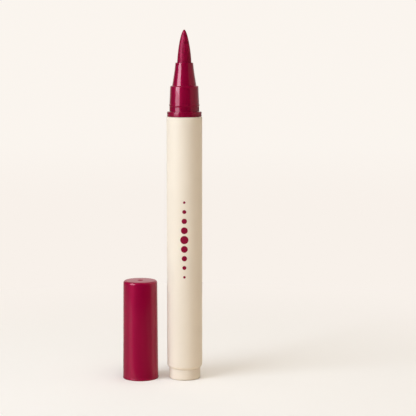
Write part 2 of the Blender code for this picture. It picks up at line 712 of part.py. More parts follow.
def add_pipe_joint(frame, material):
    """The tank's plug, whose neck carries the feed pipe and a cup for the nib's tail."""
    groove_bottom = (PLUG_LENGTH - SEAL_GROOVE_LENGTH) / 2
    groove_top = groove_bottom + SEAL_GROOVE_LENGTH
    flange_top = PLUG_LENGTH + JOINT_FLANGE
    neck = PIPE_BORE_RADIUS + JOINT_NECK_WALL
    hole = PIPE_RADIUS - PIPE_WALL
    outline = [
        (NIB_BORE_RADIUS, CUP_TOP),
        (CUP_RADIUS, CUP_TOP),
        (CUP_RADIUS, CUP_BOTTOM),
        (neck, CUP_UNDERSIDE),
        (neck, flange_top),
        (PACK_RADIUS, flange_top),
        (PACK_RADIUS, PLUG_LENGTH),
        (PISTON_RADIUS, PLUG_LENGTH),
        (PISTON_RADIUS, groove_top),
        (SEAL_GROOVE_RADIUS, groove_top),
        (SEAL_GROOVE_RADIUS, groove_bottom),
        (PISTON_RADIUS, groove_bottom),
        (PISTON_RADIUS, 0),
        (FUNNEL_RADIUS, 0),
        (hole, FUNNEL_DEPTH),
        (hole, PIPE_LEDGE_TOP),
        (PIPE_BORE_RADIUS, PIPE_LEDGE_TOP),
        (PIPE_BORE_RADIUS, CUP_BOTTOM),
        (NIB_BORE_RADIUS, CUP_BOTTOM),
    ]
    add_object("pipe_joint", turned("pipe_joint", outline), frame, PLUG_BOTTOM, material)
    return PLUG_BOTTOM + (groove_bottom + groove_top) / 2


def add_feed_pipe(frame, material):
    length = PIPE_TOP - PIPE_BOTTOM
    bore = PIPE_RADIUS - PIPE_WALL
    outline = [(PIPE_RADIUS, length), (PIPE_RADIUS, 0), (bore, 0), (bore, length)]
    mesh = turned("feed_pipe", outline, PIPE_SEGMENTS)
    add_object("feed_pipe", mesh, frame, PIPE_BOTTOM, material)


def cone_outline():
    """The nib holder's outer side, from its top edge down, flaring towards its foot."""
    points = []
    for step in range(1, CURVE_STEPS):
        share = step / CURVE_STEPS
        flare = (CONE_FOOT_RADIUS - CONE_TOP_RADIUS) * share**CONE_FLARE_POWER
        points.append((CONE_TOP_RADIUS + flare, CONE_TOP - CONE_HEIGHT * share))
    return points


def add_front_section(frame, material):
    """The crimson moulding: a shank in the barrel, the cap's seat and the nib's cone."""
    groove_middle = FLANGE_BOTTOM + FLANGE_HEIGHT / 4
    snap = SHANK_SNAP_HEIGHT
    outline = [
        (NIB_BORE_RADIUS, CONE_TOP),
        (CONE_TOP_RADIUS, CONE_TOP, CONE_EDGE),
        *cone_outline(),
        (CONE_FOOT_RADIUS, SEAT_TOP, CONE_EDGE),
        (SEAT_TOP_RADIUS, SEAT_TOP, SEAT_EDGE),
        (SEAT_FOOT_RADIUS, BEAD_TOP),
        (BEAD_RADIUS, BEAD_TOP - BEAD_REACH),
        (BEAD_RADIUS, BEAD_BOTTOM + BEAD_REACH),
        (NECK_RADIUS, BEAD_BOTTOM),
        (NECK_RADIUS, FLANGE_TOP),
        (FLANGE_RADIUS, FLANGE_TOP, FLANGE_EDGE),
        (FLANGE_RADIUS, groove_middle + FLANGE_GROOVE),
        (FLANGE_RADIUS - FLANGE_GROOVE, groove_middle),
        (FLANGE_RADIUS, groove_middle - FLANGE_GROOVE),
        (FLANGE_RADIUS, FLANGE_BOTTOM, FLANGE_EDGE / 2),
        (PACK_RADIUS, FLANGE_BOTTOM),
        (PACK_RADIUS, snap + SNAP_LENGTH),
        (SNAP_RADIUS, snap + SNAP_LENGTH),
        (SNAP_RADIUS, snap + SNAP_LENGTH / 2),
        (PACK_RADIUS, snap),
        (PACK_RADIUS, 0),
        (FRONT_BORE_RADIUS, 0),
        (FRONT_BORE_RADIUS, ROOF_BOTTOM),
        (NIB_BORE_RADIUS, ROOF_BOTTOM),
    ]
    mesh = turned("front_section", outline, OUTER_SEGMENTS)
    add_object("front_section", mesh, frame, SHANK_BOTTOM, material)


def add_nib(frame, material):
    """The felt nib: a straight stem with a bore for the feed pipe, and a pointed bulge."""
    bore = PIPE_RADIUS + FIT_GAP
    outline = [(0, NIB_STEM + NIB_LENGTH)]
    for step in range(NIB_STEPS - 1, -1, -1):
        share = step / NIB_STEPS
        radius = NIB_RADIUS * (1 - share**NIB_BULGE_POWER) ** NIB_TIP_POWER
        outline.append((radius, NIB_STEM + NIB_LENGTH * share))
    outline += [
        (NIB_RADIUS, NIB_CHAMFER),
        (NIB_RADIUS - NIB_CHAMFER, 0),
        (bore, 0),
        (bore, PIPE_REACH + SEAT_GAP),
        (0, PIPE_REACH + SEAT_GAP),
    ]
    add_object("nib", turned("nib", outline), frame, NIB_BOTTOM, material)


def add_cap_shell(frame, material):
    """The cap, with draft, a small lip at its mouth, a snap ridge and a stop rib."""
    lip = CAP_MOUTH_RADIUS + CAP_LIP_REACH
    ridge = CAP_BORE_RADIUS - CAP_SNAP_REACH
    ridge_top = CAP_SNAP_HEIGHT + CAP_SNAP_LENGTH
    outline = [
        (0, CAP_LENGTH - GATE_DEPTH),
        (GATE_RADIUS, CAP_LENGTH - GATE_DEPTH),
        (GATE_RADIUS + GATE_DEPTH, CAP_LENGTH),
        (CAP_TOP_RADIUS, CAP_LENGTH, CAP_EDGE),
        (CAP_MOUTH_RADIUS, CAP_LIP_HEIGHT + CAP_LIP_REACH),
        (lip, CAP_LIP_HEIGHT, CAP_LIP_REACH),
        (lip, 0, CAP_LIP_HEIGHT / 2),
        (CAP_BORE_RADIUS + CAP_LEAD_IN, 0),
        (CAP_BORE_RADIUS, CAP_LEAD_IN),
        (CAP_BORE_RADIUS, CAP_SNAP_HEIGHT),
        (ridge, CAP_SNAP_HEIGHT + CAP_SNAP_REACH),
        (ridge, ridge_top - CAP_SNAP_REACH),
        (CAP_BORE_RADIUS, ridge_top),
        (CAP_BORE_RADIUS, STOP_RIB_BOTTOM),
        (STOP_RIB_RADIUS, STOP_RIB_BOTTOM),
        (STOP_RIB_RADIUS, STOP_RIB_TOP),
        (CAP_BORE_RADIUS, STOP_RIB_TOP),
        (CAP_BORE_RADIUS, INNER_LUG_REACH),
        (CAP_CEILING_RADIUS, CAP_CEILING, CAP_EDGE / 2),
        (0, CAP_CEILING),
    ]
    add_object("cap_shell", turned("cap_shell", outline, OUTER_SEGMENTS), frame, 0, material)


def add_inner_cap(frame, material):
    """The sealing cup: a mouth for the seat's step, lugs for the stop rib, a spring step."""
    outline = [
        (0, INNER_TOP),
        (INNER_BODY_RADIUS, INNER_TOP, INNER_EDGE),
        (INNER_BODY_RADIUS, INNER_STEP),
        (INNER_SHOULDER_RADIUS, INNER_STEP),
        (INNER_SHOULDER_RADIUS, INNER_LUG_TOP),
        (INNER_LUG_RADIUS, INNER_LUG_TOP),
        (INNER_LUG_RADIUS, INNER_LUG_BOTTOM),
        (INNER_MOUTH_RADIUS, INNER_LUG_BOTTOM),
        (INNER_MOUTH_RADIUS, 0),
        (INNER_MOUTH_BORE, 0),
        (INNER_STEP_BORE, INNER_STEP),
        (INNER_STEP_BORE, INNER_CEILING, INNER_EDGE),
        (0, INNER_CEILING),
    ]
    add_object("inner_cap", turned("inner_cap", outline), frame, INNER_BOTTOM, material)


def spring_points():
    """One wire: straight up off its seat, round a small bend, along the helix, and back."""
    bends = [math.pi / 2 * step / SPRING_BEND_POINTS for step in range(SPRING_BEND_POINTS)]
    half = SPRING_LENGTH / 2
    lead = 2 * SPRING_WIRE
    bend_turn = SPRING_WIRE / SPRING_RADIUS
    sweep = math.tau * SPRING_TURNS / 2 - bend_turn
    end = [(-sweep - bend_turn, -half)]
    for bend in bends:
        turn = -sweep - bend_turn * math.cos(bend)
        end.append((turn, -half + SPRING_WIRE * (1 + math.sin(bend))))
    steps = SPRING_TURNS * SPRING_TURN_POINTS
    coil = []
    for step in range(steps + 1):
        share = 2 * step / steps - 1
        coil.append((sweep * share, (half - lead) * share))
    other_end = [(-turn, -height) for turn, height in reversed(end)]
    return [
        (SPRING_RADIUS * math.cos(turn), SPRING_RADIUS * math.sin(turn), half + height)
        for turn, height in end + coil + other_end
    ]


def least_gap(points):
    """The wire's least gap to itself, between points more than half a turn apart."""
    apart = SPRING_TURN_POINTS // 2
    gaps = [
        math.dist(point, other) - SPRING_WIRE
        for index, point in enumerate(points)
        for other in points[index + apart :]
    ]
    return min(gaps)


def add_inner_cap_spring(frame, material):
    points = spring_points()
    gap = least_gap(points)
    print(f"inner_cap_spring: least gap {gap:.5f} m, wanted over {SPRING_LEAST_GAP:.5f} m")
    curve = bpy.data.curves.new("inner_cap_spring", "CURVE")
    curve.dimensions = "3D"
    curve.bevel_depth = SPRING_WIRE / 2
    curve.bevel_resolution = 1
    curve.use_fill_caps = True
    spline = curve.splines.new("POLY")
    spline.points.add(len(points) - 1)
    for place, point in zip(spline.points, points):
        place.co = (*point, 1)
    add_object("inner_cap_spring", curve, frame, SPRING_BOTTOM, material)


def build():
    clear_scene()
    cream = make_material("barrel_cream", (0.84, 0.76, 0.65), 0.5)
    dial_cream = make_material("dial_cream", (0.84, 0.76, 0.65), 0.5)
    crimson = make_material("front_crimson", (0.25, 0.002, 0.035), 0.18)
    cap_crimson = make_material("cap_crimson", (0.25, 0.002, 0.035), 0.18)
    felt = make_material("nib_felt", (0.30, 0.012, 0.07), 0.85)
    clear = make_material("tank_plastic", (0.80, 0.82, 0.82), 0.3)
    white = make_material("piston_plastic", (0.85, 0.85, 0.83), 0.4)
    joint_white = make_material("joint_plastic", (0.85, 0.85, 0.83), 0.4)
    inner_white = make_material("inner_cap_plastic", (0.80, 0.80, 0.78), 0.4)
    grey = make_material("drive_plastic", (0.35, 0.36, 0.38), 0.45)
    rod_grey = make_material("rod_plastic", (0.60, 0.61, 0.62), 0.4)
    nut_grey = make_material("nut_plastic", (0.22, 0.23, 0.25), 0.45)
    rubber = make_material("seal_rubber", (0.02, 0.02, 0.02), 0.7)
    steel = make_material("steel", (0.60, 0.60, 0.60), 0.25, 1.0)

    pen = make_empty("pen_axis", 0)
    dial_turn = make_empty("dial_turn_axis", 0, pen)
    rod_feed = make_empty("rod_feed_axis", 0, dial_turn)
    piston_feed = make_empty("piston_feed_axis", 0, pen)
    cap_lift = make_empty("cap_lift_axis", -CAP_DISTANCE, pen)
    inner_press = make_empty("inner_cap_press_axis", 0, cap_lift)

    add_barrel(pen, cream)
    add_front_section(pen, crimson)
    add_nib(pen, felt)
    add_feed_pipe(pen, steel)
    add_seal("front_seal", pen, add_pipe_joint(pen, joint_white), rubber)
    add_polish_tank(pen, clear)
    add_rod_nut(pen, nut_grey)
    add_ratchet_ring(pen, nut_grey)
    add_tail_dial(dial_turn, dial_cream)
    add_drive_sleeve(dial_turn, grey)
    add_click_pawls(dial_turn, white)
    add_screw_rod(rod_feed, rod_grey)
    add_seal("piston_seal", piston_feed, add_piston(piston_feed, white), rubber)
    add_mixing_ball("mixing_ball_a", -TANK_RADIUS / 2, piston_feed, steel)
    add_mixing_ball("mixing_ball_b", TANK_RADIUS / 2, piston_feed, steel)
    add_cap_shell(cap_lift, cap_crimson)
    add_inner_cap_spring(cap_lift, steel)
    add_inner_cap(inner_press, inner_white)


build()
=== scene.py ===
"""The looks of a twist-feed nail polish pen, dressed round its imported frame.

Lengths are in metres, in the row frame: +Z up, the pen on its tail at the origin and
its cap on its mouth at -X. The camera looks along +Y.
"""

import math

import bmesh
import bpy
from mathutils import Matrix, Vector, noise


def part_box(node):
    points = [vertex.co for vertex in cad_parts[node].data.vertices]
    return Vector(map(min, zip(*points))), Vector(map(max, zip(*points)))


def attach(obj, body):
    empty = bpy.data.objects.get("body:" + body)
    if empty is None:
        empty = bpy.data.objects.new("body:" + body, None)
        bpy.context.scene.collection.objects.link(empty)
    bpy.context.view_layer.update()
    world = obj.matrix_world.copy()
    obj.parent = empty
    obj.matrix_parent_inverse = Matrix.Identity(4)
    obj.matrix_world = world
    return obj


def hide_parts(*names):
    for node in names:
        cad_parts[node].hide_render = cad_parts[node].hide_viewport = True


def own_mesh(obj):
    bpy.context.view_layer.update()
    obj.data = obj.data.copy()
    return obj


MM = 0.001

# Camera: a long lens a little higher than the nib's tip, tipped down
IMAGE_PIXELS = 416
FOCAL_PIXELS = 1598
SENSOR_WIDTH_MM = 36.0
CAMERA_PLACE = (8.29 * MM, -560 * MM, 130.4 * MM)
CAMERA_TIP_DEG = 7.06

# Facets
ROUND_SEGMENTS = 160
INNER_SEGMENTS = 96
THREAD_SEGMENTS = 72
FILLET_STEPS = 6
SHARP_ANGLE = math.radians(35)

# Gaps and snap ridges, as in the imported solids
SEAT_GAP = 0.2 * MM
FIT_GAP = 0.2 * MM
SNAP_REACH = 0.3 * MM
SNAP_LENGTH = 1.0 * MM

# Barrel
BARREL_WALL = 1.0 * MM
BARREL_TOP_CHAMFER = 0.3 * MM
BARREL_BEVEL_WIDTH = 0.7 * MM
BARREL_BEVEL_HEIGHT = 0.9 * MM
BARREL_EDGE = 0.08 * MM
REAR_GROOVE_HEIGHT = 2.9 * MM
SHOULDER_HEIGHT = 7.5 * MM
SHOULDER_REACH = 0.8 * MM
RIB_COUNT = 4
RIB_DEPTH = 0.3 * MM
RIB_WIDTH = 1.0 * MM
RIB_TOP = 15.7 * MM

# Tail dial
DIAL_GAP = 0.08 * MM
DIAL_EDGE = 0.6 * MM
DIAL_TOP_EDGE = 0.15 * MM
DIAL_INSET = 0.73 * MM
DIAL_NECK_REACH = 7.3 * MM
DIAL_NECK_WALL = 0.9 * MM
DIAL_SNAP_REACH = 3.1 * MM
DIAL_FLOOR = 3.0 * MM
DIAL_SOCKET_RADIUS = 2.8 * MM
DIAL_SOCKET_FLAT = 2.4 * MM
DIAL_SOCKET_WALL = 0.7 * MM

# Front section and nib
SHANK_LENGTH = 5.6 * MM
SHANK_SNAP_HEIGHT = 2.0 * MM
FLANGE_INSET = 0.2 * MM
FLANGE_HEIGHT = 1.55 * MM
FLANGE_EDGE = 0.2 * MM
FLANGE_GROOVE = 0.08 * MM
FLANGE_SPLIT_SHARE = 0.34
FLANGE_SEAM = 0.1 * MM
NECK_HEIGHT = 1.9 * MM
NECK_RADIUS = 5.2 * MM
BEAD_RADIUS = 5.3 * MM
BEAD_LENGTH = 0.7 * MM
BEAD_EDGE = 0.12 * MM
SEAT_FOOT_RADIUS = 5.18 * MM
SEAT_TOP_RADIUS = 4.93 * MM
SEAT_EDGE = 0.35 * MM
CONE_HEIGHT = 8.05 * MM
CONE_FOOT_RADIUS = 4.27 * MM
CONE_TOP_RADIUS = 3.13 * MM
CONE_FLARE_POWER = 1.25
CONE_EDGE = 0.15 * MM
CONE_STEPS = 20
FRONT_BORE_RADIUS = 4.1 * MM
FRONT_ROOF = 1.4 * MM
NIB_RADIUS = 2.5 * MM
NIB_BULGE_POWER = 1.45
NIB_TIP_POWER = 0.59
NIB_STEPS = 40
NIB_CHAMFER = 0.3 * MM
PIPE_BORE_RADIUS = 1.1 * MM
PIPE_REACH = 6.7 * MM
NIB_GROOVE_DENSITY = 14
NIB_GROOVE_DRIFT = 1.5
NIB_GROOVE_DEPTH = 0.035 * MM
NIB_GROOVE_MEAN_SHARE = 0.5
NIB_GROOVE_FULL_RADIUS = NIB_RADIUS / 2

# Cap, inner cap and spring
CAP_EDGE = 0.8 * MM
CAP_DRAFT = 0.26 * MM
CAP_LIP_REACH = 0.08 * MM
CAP_LIP_HEIGHT = 0.6 * MM
CAP_TOP_WALL = 1.2 * MM
CAP_SIDE_WALL = 1.05 * MM
CAP_BORE_RADIUS = 5.4 * MM
CAP_LEAD_IN = 0.25 * MM
CAP_SNAP_REACH = 0.14 * MM
CAP_SNAP_HEIGHT = 0.7 * MM
CAP_SNAP_LENGTH = 0.6 * MM
STOP_RIB_RADIUS = 4.92 * MM
STOP_RIB_HEIGHT = 0.6 * MM
STOP_RIB_GAP = 0.3 * MM
GATE_RADIUS = 0.75 * MM
GATE_DEPTH = 0.25 * MM
INNER_PRESS = 1.0 * MM
INNER_RING_RADIUS = 5.2 * MM
INNER_RING_HEIGHT = 1.0 * MM
INNER_RING_TOP = 3.1 * MM
INNER_MOUTH_RADIUS = 4.72 * MM
INNER_MOUTH_BORE = 4.47 * MM
INNER_SHOULDER_RADIUS = 4.64 * MM
INNER_BODY_RADIUS = 3.93 * MM
INNER_STEP_BORE = 3.33 * MM
INNER_TOP_WALL = 0.8 * MM
INNER_EDGE = 0.5 * MM
SPRING_WIRE = 0.44 * MM
SPRING_RADIUS = 4.42 * MM
SPRING_TURNS = 7
SPRING_CLOSED_TURNS = 1
SPRING_TURN_POINTS = 48
SPRING_SIDES = 12
SPRING_END_GAP = 0.03 * MM

# Screw rod and nut
ROD_RADIUS = 1.9 * MM
ROD_FLAT = 1.4 * MM
ROD_HEAD_RADIUS = 1.6 * MM
ROD_HEAD_HEIGHT = 1.6 * MM
ROD_NECK_RADIUS = 1.1 * MM
ROD_NECK_LENGTH = 1.4 * MM
NUT_WEB_HEIGHT = 4.5 * MM
NUT_SKIRT_WALL = 0.6 * MM
NUT_KEY_LENGTH = 2.7 * MM
NUT_KEY_WIDTH = 1.4 * MM
NUT_KEY_DEPTH = 0.3 * MM
THREAD_LEAD = 4.0 * MM
THREAD_STARTS = 4
THREAD_DEPTH = 0.3 * MM
THREAD_STEPS = 10
THREAD_GAP = 0.08 * MM
THREAD_FLANK = 1.6

# Print on the barrel
DOT_COUNT = 9
DOT_PITCH = 3.3 * MM
DOT_MIDDLE = 50.5 * MM
DOT_LARGEST_RADIUS = 1.45 * MM
DOT_SMALLEST_RADIUS = 0.45 * MM
DOT_RINGS = 4
DOT_SEGMENTS = 40
DOT_PROUD = 0.015 * MM
DOT_SINK = 0.1 * MM

# Surfaces: scales are in noise cells to a metre, and a stretch under 1 draws the cells out
SPECULAR = 0.5
CLOUD_SCALE = 130
CLOUD_DETAIL = 3
CLOUD_STRETCH = (1, 1, 0.35)
CLOUD_SPAN = (0.35, 0.65)
SKIN_SCALE = 2600
SKIN_DETAIL = 4
SKIN_BUMP = 0.08
SKIN_DEPTH = 0.02 * MM
GLOSS_SPAN = (0.9, 1.1)
CRIMSON = (0.222, 0.0006, 0.0275)
CRIMSON_SPAN = (0.95, 1.05)
CRIMSON_GLOW = (1.0, 0.03, 0.15)
CRIMSON_ROUGHNESS = 0.40
CRIMSON_SPECULAR = 0.9
CRIMSON_BUMP = 0.04
COAT_ROUGHNESS = 0.04
FELT_SCALE = 5200
FELT_DETAIL = 6
FELT_STRETCH = (1, 1, 0.09)
FELT_STOPS = ((0.34, (0.14, 0.0004, 0.014)), (0.5, (0.23, 0.001, 0.028)), (0.68, (0.38, 0.005, 0.062)))
FELT_GLOW = (1.0, 0.22, 0.36)
FELT_ROUGHNESS = 0.36
FELT_BUMP = 0.35
FELT_DEPTH = 0.04 * MM
STEEL_SCALE = 3200
STEEL_DETAIL = 3
STEEL_STRETCH = (1, 1, 0.05)
STEEL_STOPS = ((0.3, (0.48, 0.48, 0.49)), (0.7, (0.68, 0.68, 0.69)))
STEEL_ROUGHNESS = 0.25
STEEL_ROUGHNESS_SPAN = (0.18, 0.34)

# Floor: its colours as lit, as seen far away and as bounced light, and reaches in metres
# that are counted from the pen's foot
BACKGROUND = (0.962, 0.912, 0.858)
FLOOR_SEEN = (0.850, 0.841, 0.848)
FLOOR_TONE = (0.939, 0.879, 0.823)
FLOOR_BOUNCE = (0.97, 0.88, 0.78)
FLOOR_GLOW = 0.08
FLOOR_ROUGHNESS = 0.8
FLOOR_REACH = 4.0
FLOOR_LIT_REACH = (0.04, 0.2)
FLOOR_FADE_REACH = (0.45, 1.05)

# The studio in mirror images, and the floor's painted reflections: painted light at its sides, painted
# shade before the pen and far away; the floor's stops run from before the pen to behind it
MIRROR_DARK = 0.01
MIRROR_PALE = 0.95
MIRROR_EDGE = (0.55, 0.97)
FLOOR_MIRROR_PAINTED_SHADE = (0.02, 0.02, 0.02)
FLOOR_MIRROR_PALE = (0.90, 0.86, 0.82)
FLOOR_MIRROR_TINT = (1.0, 0.95, 0.90)
FLOOR_MIRROR_REACH = (0.5, 0.25)
FLOOR_MIRROR_SIDES = (-0.2, 0.2)
FLOOR_MIRROR_LEFT_PAINTED_LIGHT = ((0.10, 0.12), (0.14, 0.70), (0.34, 0.70), (0.42, 0.34), (0.80, 0.34))
FLOOR_MIRROR_RIGHT_PAINTED_LIGHT = ((0.0, 0.18), (0.035, 0.12), (0.055, 0.40), (0.45, 0.10), (0.60, 0.02))

# Lamps: place, width and height in metres, and brightness
KEY = ((-0.746, -0.503, 0.41), (0.62, 0.90), 4.4)
KEY_GLOSS = ((-0.746, -0.503, 0.55), (0.60, 0.74), 4.0)
RIGHT_PANEL = ((0.75, 0, 0.20), (1.30, 0.60), 0.3)
RIGHT_FILL = ((0.75, 0, 0.12), (1.30, 0.60), 0.22)
TOP_FILL = ((0, -0.15, 0.90), (0.70, 0.70), 3.9)
BACK_FILL = ((0.10, 0.80, 0.25), (1.20, 0.50), 1.5)
KEY_COLOUR = (0.80, 0.90, 1.0)
WARM_WHITE = (1.0, 0.92, 0.79)
SKY_COLOUR = (1.0, 0.90, 0.80)
SKY_STRENGTH = 0.06
LAMP_TARGET = (0, 0, 0.07)

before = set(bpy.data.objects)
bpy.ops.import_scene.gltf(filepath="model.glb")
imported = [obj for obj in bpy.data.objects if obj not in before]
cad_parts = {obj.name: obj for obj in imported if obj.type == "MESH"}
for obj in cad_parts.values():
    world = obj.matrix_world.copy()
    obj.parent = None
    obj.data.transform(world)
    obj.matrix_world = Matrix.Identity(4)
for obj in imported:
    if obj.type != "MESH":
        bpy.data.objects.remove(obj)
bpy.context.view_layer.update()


# Shapes


def rounded_corner(before, corner, after, fillet):
    """Points of an arc in place of a corner, limited to half of either side."""
    towards = [(end[0] - corner[0], end[1] - corner[1]) for end in (before, after)]
    lengths = [math.hypot(*side) for side in towards]
    sides = [(x / length, y / length) for (x, y), length in zip(towards, lengths)]
    half_angle = math.acos(sides[0][0] * sides[1][0] + sides[0][1] * sides[1][1]) / 2
    cut = min(fillet / math.tan(half_angle), min(lengths) / 2)
    mean = [(sides[0][axis] + sides[1][axis]) / 2 for axis in (0, 1)]
    apart = [(sides[1][axis] - sides[0][axis]) / 2 for axis in (0, 1)]
    points = []
    for step in range(FILLET_STEPS + 1):
        turn = (2 * step / FILLET_STEPS - 1) * (math.pi / 2 - half_angle)
        inward = cut * (1 - math.cos(turn) * math.sin(half_angle)) / math.cos(half_angle) ** 2
        spread = cut * math.sin(turn) / math.cos(half_angle)
        points.append(
            tuple(corner[axis] + mean[axis] * inward + apart[axis] * spread for axis in (0, 1))
        )
    return points


def rounded(outline):
    """An outline's points, with an arc where a point has a third value, its fillet."""
    points = []
    for index, corner in enumerate(outline):
        if len(corner) == 3:
            after = outline[(index + 1) % len(outline)]
            points += rounded_corner(outline[index - 1], corner, after, corner[2])
        else:
            points.append(corner)
    return points


def straight_round(radius, height, turn):
    """A point of a plain turned surface."""
    return (radius * math.cos(turn), radius * math.sin(turn), height)


def turned_mesh(name, outline, segments, form=straight_round):
    """A closed mesh turned about Z from a ring of (radius, height) points."""
    points = rounded(outline)
    shape = bmesh.new()
    rings = []
    for radius, height in points:
        if radius == 0:
            rings.append([shape.verts.new((0, 0, height))] * segments)
            continue
        turns = (math.tau * index / segments for index in range(segments))
        rings.append([shape.verts.new(form(radius, height, turn)) for turn in turns])
    for upper, lower in zip(rings, rings[1:] + rings[:1]):
        for index in range(segments):
            after = (index + 1) % segments
            corners = dict.fromkeys([upper[index], upper[after], lower[after], lower[index]])
            if len(corners) > 2:
                shape.faces.new(corners)
    return finished_mesh(name, shape)


def finished_mesh(name, shape):
    """The shape as a mesh, faces outward, smooth except at its sharp edges."""
    bmesh.ops.recalc_face_normals(shape, faces=shape.faces)
    mesh = bpy.data.meshes.new(name)
    shape.to_mesh(mesh)
    shape.free()
    mesh.shade_smooth()
    mesh.set_sharp_from_angle(angle=SHARP_ANGLE)
    return mesh


def add_piece(name, mesh, body, finish, place=(0, 0, 0), stands_for=()):
    """A piece of the object, on its body, with its finish and the nodes it stands for."""
    piece = bpy.data.objects.new(name, mesh)
    piece.location = place
    mesh.materials.append(MATERIALS[finish])
    bpy.context.scene.collection.objects.link(piece)
    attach(piece, body)
    if stands_for:
        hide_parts(*stands_for)
    return piece


# Materials


def new_material(name, roughness, specular=SPECULAR):
    """A Principled material: its node tree and its shader."""
    material = bpy.data.materials.new(name)
    material.use_nodes = True
    shader = material.node_tree.nodes["Principled BSDF"]
    shader.inputs["Roughness"].default_value = roughness
    shader.inputs["Specular IOR Level"].default_value = specular
    return material, material.node_tree, shader


def add_noise(tree, scale, detail, stretch=(1, 1, 1)):
    """Noise in the object's own metres, stretched along its axes."""
    place = tree.nodes.new("ShaderNodeTexCoord")
    mapping = tree.nodes.new("ShaderNodeMapping")
    mapping.inputs["Scale"].default_value = stretch
    texture = tree.nodes.new("ShaderNodeTexNoise")
    texture.inputs["Scale"].default_value = scale
    texture.inputs["Detail"].default_value = detail
    tree.links.new(place.outputs["Object"], mapping.inputs["Vector"])
    tree.links.new(mapping.outputs["Vector"], texture.inputs["Vector"])
    return texture.outputs["Fac"]


def add_ramp(tree, source, stops):
    """A colour ramp from (place, colour) stops."""
    ramp = tree.nodes.new("ShaderNodeValToRGB")
    elements = ramp.color_ramp.elements
    while len(elements) < len(stops):
        elements.new(0.5)
    for element, (place, colour) in zip(elements, stops):
        element.position = place
        element.color = (*colour, 1)
    tree.links.new(source, ramp.inputs["Fac"])
    return ramp.outputs["Color"]


def add_bump(tree, shader, height, strength, distance):
    """Fine relief that follows a height."""
    bump = tree.nodes.new("ShaderNodeBump")
    bump.inputs["Strength"].default_value = strength
    bump.inputs["Distance"].default_value = distance
    tree.links.new(height, bump.inputs["Height"])
    tree.links.new(bump.outputs["Normal"], shader.inputs["Normal"])


def add_range(tree, source, low, high):
    """A number that follows the source from low to high."""
    spread = tree.nodes.new("ShaderNodeMapRange")
    spread.inputs["To Min"].default_value = low
    spread.inputs["To Max"].default_value = high
    tree.links.new(source, spread.inputs["Value"])
    return spread.outputs["Result"]


def plastic(name, dark, light, roughness, specular=SPECULAR, bump=SKIN_BUMP):
    """Moulded plastic: two near tones in soft clouds, uneven gloss and a fine skin."""
    material, tree, shader = new_material(name, roughness, specular)
    clouds = add_noise(tree, CLOUD_SCALE, CLOUD_DETAIL, CLOUD_STRETCH)
    tone = add_ramp(tree, clouds, list(zip(CLOUD_SPAN, (dark, light))))
    tree.links.new(tone, shader.inputs["Base Color"])
    skin = add_noise(tree, SKIN_SCALE, SKIN_DETAIL)
    gloss = add_range(tree, skin, *(roughness * share for share in GLOSS_SPAN))
    tree.links.new(gloss, shader.inputs["Roughness"])
    add_bump(tree, shader, skin, bump, SKIN_DEPTH)
    return material


def crimson(name, shade, coat, coat_ior):
    """Deep crimson plastic: a broad gloss in its own colour under a clear, sharper one."""
    # shade scales the crimson into lighter or darker copies; the cap's lighter copy is painted light
    dark, light = ([channel * shade * tone for channel in CRIMSON] for tone in CRIMSON_SPAN)
    material = plastic(name, dark, light, CRIMSON_ROUGHNESS, CRIMSON_SPECULAR, CRIMSON_BUMP)
    shader = material.node_tree.nodes["Principled BSDF"]
    shader.inputs["Specular Tint"].default_value = (*CRIMSON_GLOW, 1)
    shader.inputs["Coat Weight"].default_value = coat
    shader.inputs["Coat Roughness"].default_value = COAT_ROUGHNESS
    shader.inputs["Coat IOR"].default_value = coat_ior
    return material


def felt(name):
    """Packed fibres along the nib, soaked unevenly with polish."""
    material, tree, shader = new_material(name, FELT_ROUGHNESS)
    fibres = add_noise(tree, FELT_SCALE, FELT_DETAIL, FELT_STRETCH)
    tree.links.new(add_ramp(tree, fibres, FELT_STOPS), shader.inputs["Base Color"])
    shader.inputs["Specular Tint"].default_value = (*FELT_GLOW, 1)
    add_bump(tree, shader, fibres, FELT_BUMP, FELT_DEPTH)
    return material


def steel(name):
    """Drawn steel with fine scratches along it."""
    material, tree, shader = new_material(name, STEEL_ROUGHNESS)
    shader.inputs["Metallic"].default_value = 1
    scratches = add_noise(tree, STEEL_SCALE, STEEL_DETAIL, STEEL_STRETCH)
    tree.links.new(add_ramp(tree, scratches, STEEL_STOPS), shader.inputs["Base Color"])
    gloss = add_range(tree, scratches, *STEEL_ROUGHNESS_SPAN)
    tree.links.new(gloss, shader.inputs["Roughness"])
    return material


# A plastic gives its dark and light tones, its roughness and, for some, its specular level
MATERIALS = {
    "cream": plastic("cream_satin", (0.870, 0.775, 0.660), (0.890, 0.795, 0.680), 0.42, 0.22),
    "front": crimson("front_crimson_gloss", shade=1.03, coat=0.9, coat_ior=1.5),
    # Painted light: the cap's crimson is a lighter copy of the front's
    "cap": crimson("cap_crimson_satin", shade=1.24, coat=0.29, coat_ior=1.8),
    "print": plastic("print_crimson", (0.250, 0.0010, 0.028), (0.290, 0.0025, 0.036), 0.38, 0.15),
    "felt": felt("nib_felt_soaked"),
    "tank": plastic("tank_milky", (0.74, 0.76, 0.75), (0.80, 0.82, 0.81), 0.30),
    "white": plastic("piston_white", (0.80, 0.80, 0.77), (0.85, 0.85, 0.82), 0.40),
    "natural": plastic("inner_cap_natural", (0.74, 0.73, 0.69), (0.80, 0.79, 0.76), 0.38),
    "joint": plastic("joint_natural", (0.80, 0.80, 0.77), (0.85, 0.85, 0.82), 0.38),
    "drive": plastic("drive_grey", (0.32, 0.33, 0.35), (0.37, 0.38, 0.40), 0.42),
    "pawl": plastic("pawl_white", (0.80, 0.80, 0.77), (0.85, 0.85, 0.82), 0.35),
    "rod": plastic("rod_grey", (0.56, 0.57, 0.58), (0.62, 0.63, 0.64), 0.38),
    "nut": plastic("nut_dark", (0.19, 0.20, 0.22), (0.24, 0.25, 0.27), 0.45),
    "rubber": plastic("seal_rubber_black", (0.016, 0.016, 0.016), (0.026, 0.026, 0.026), 0.70),
    "steel": steel("steel_drawn"),
}

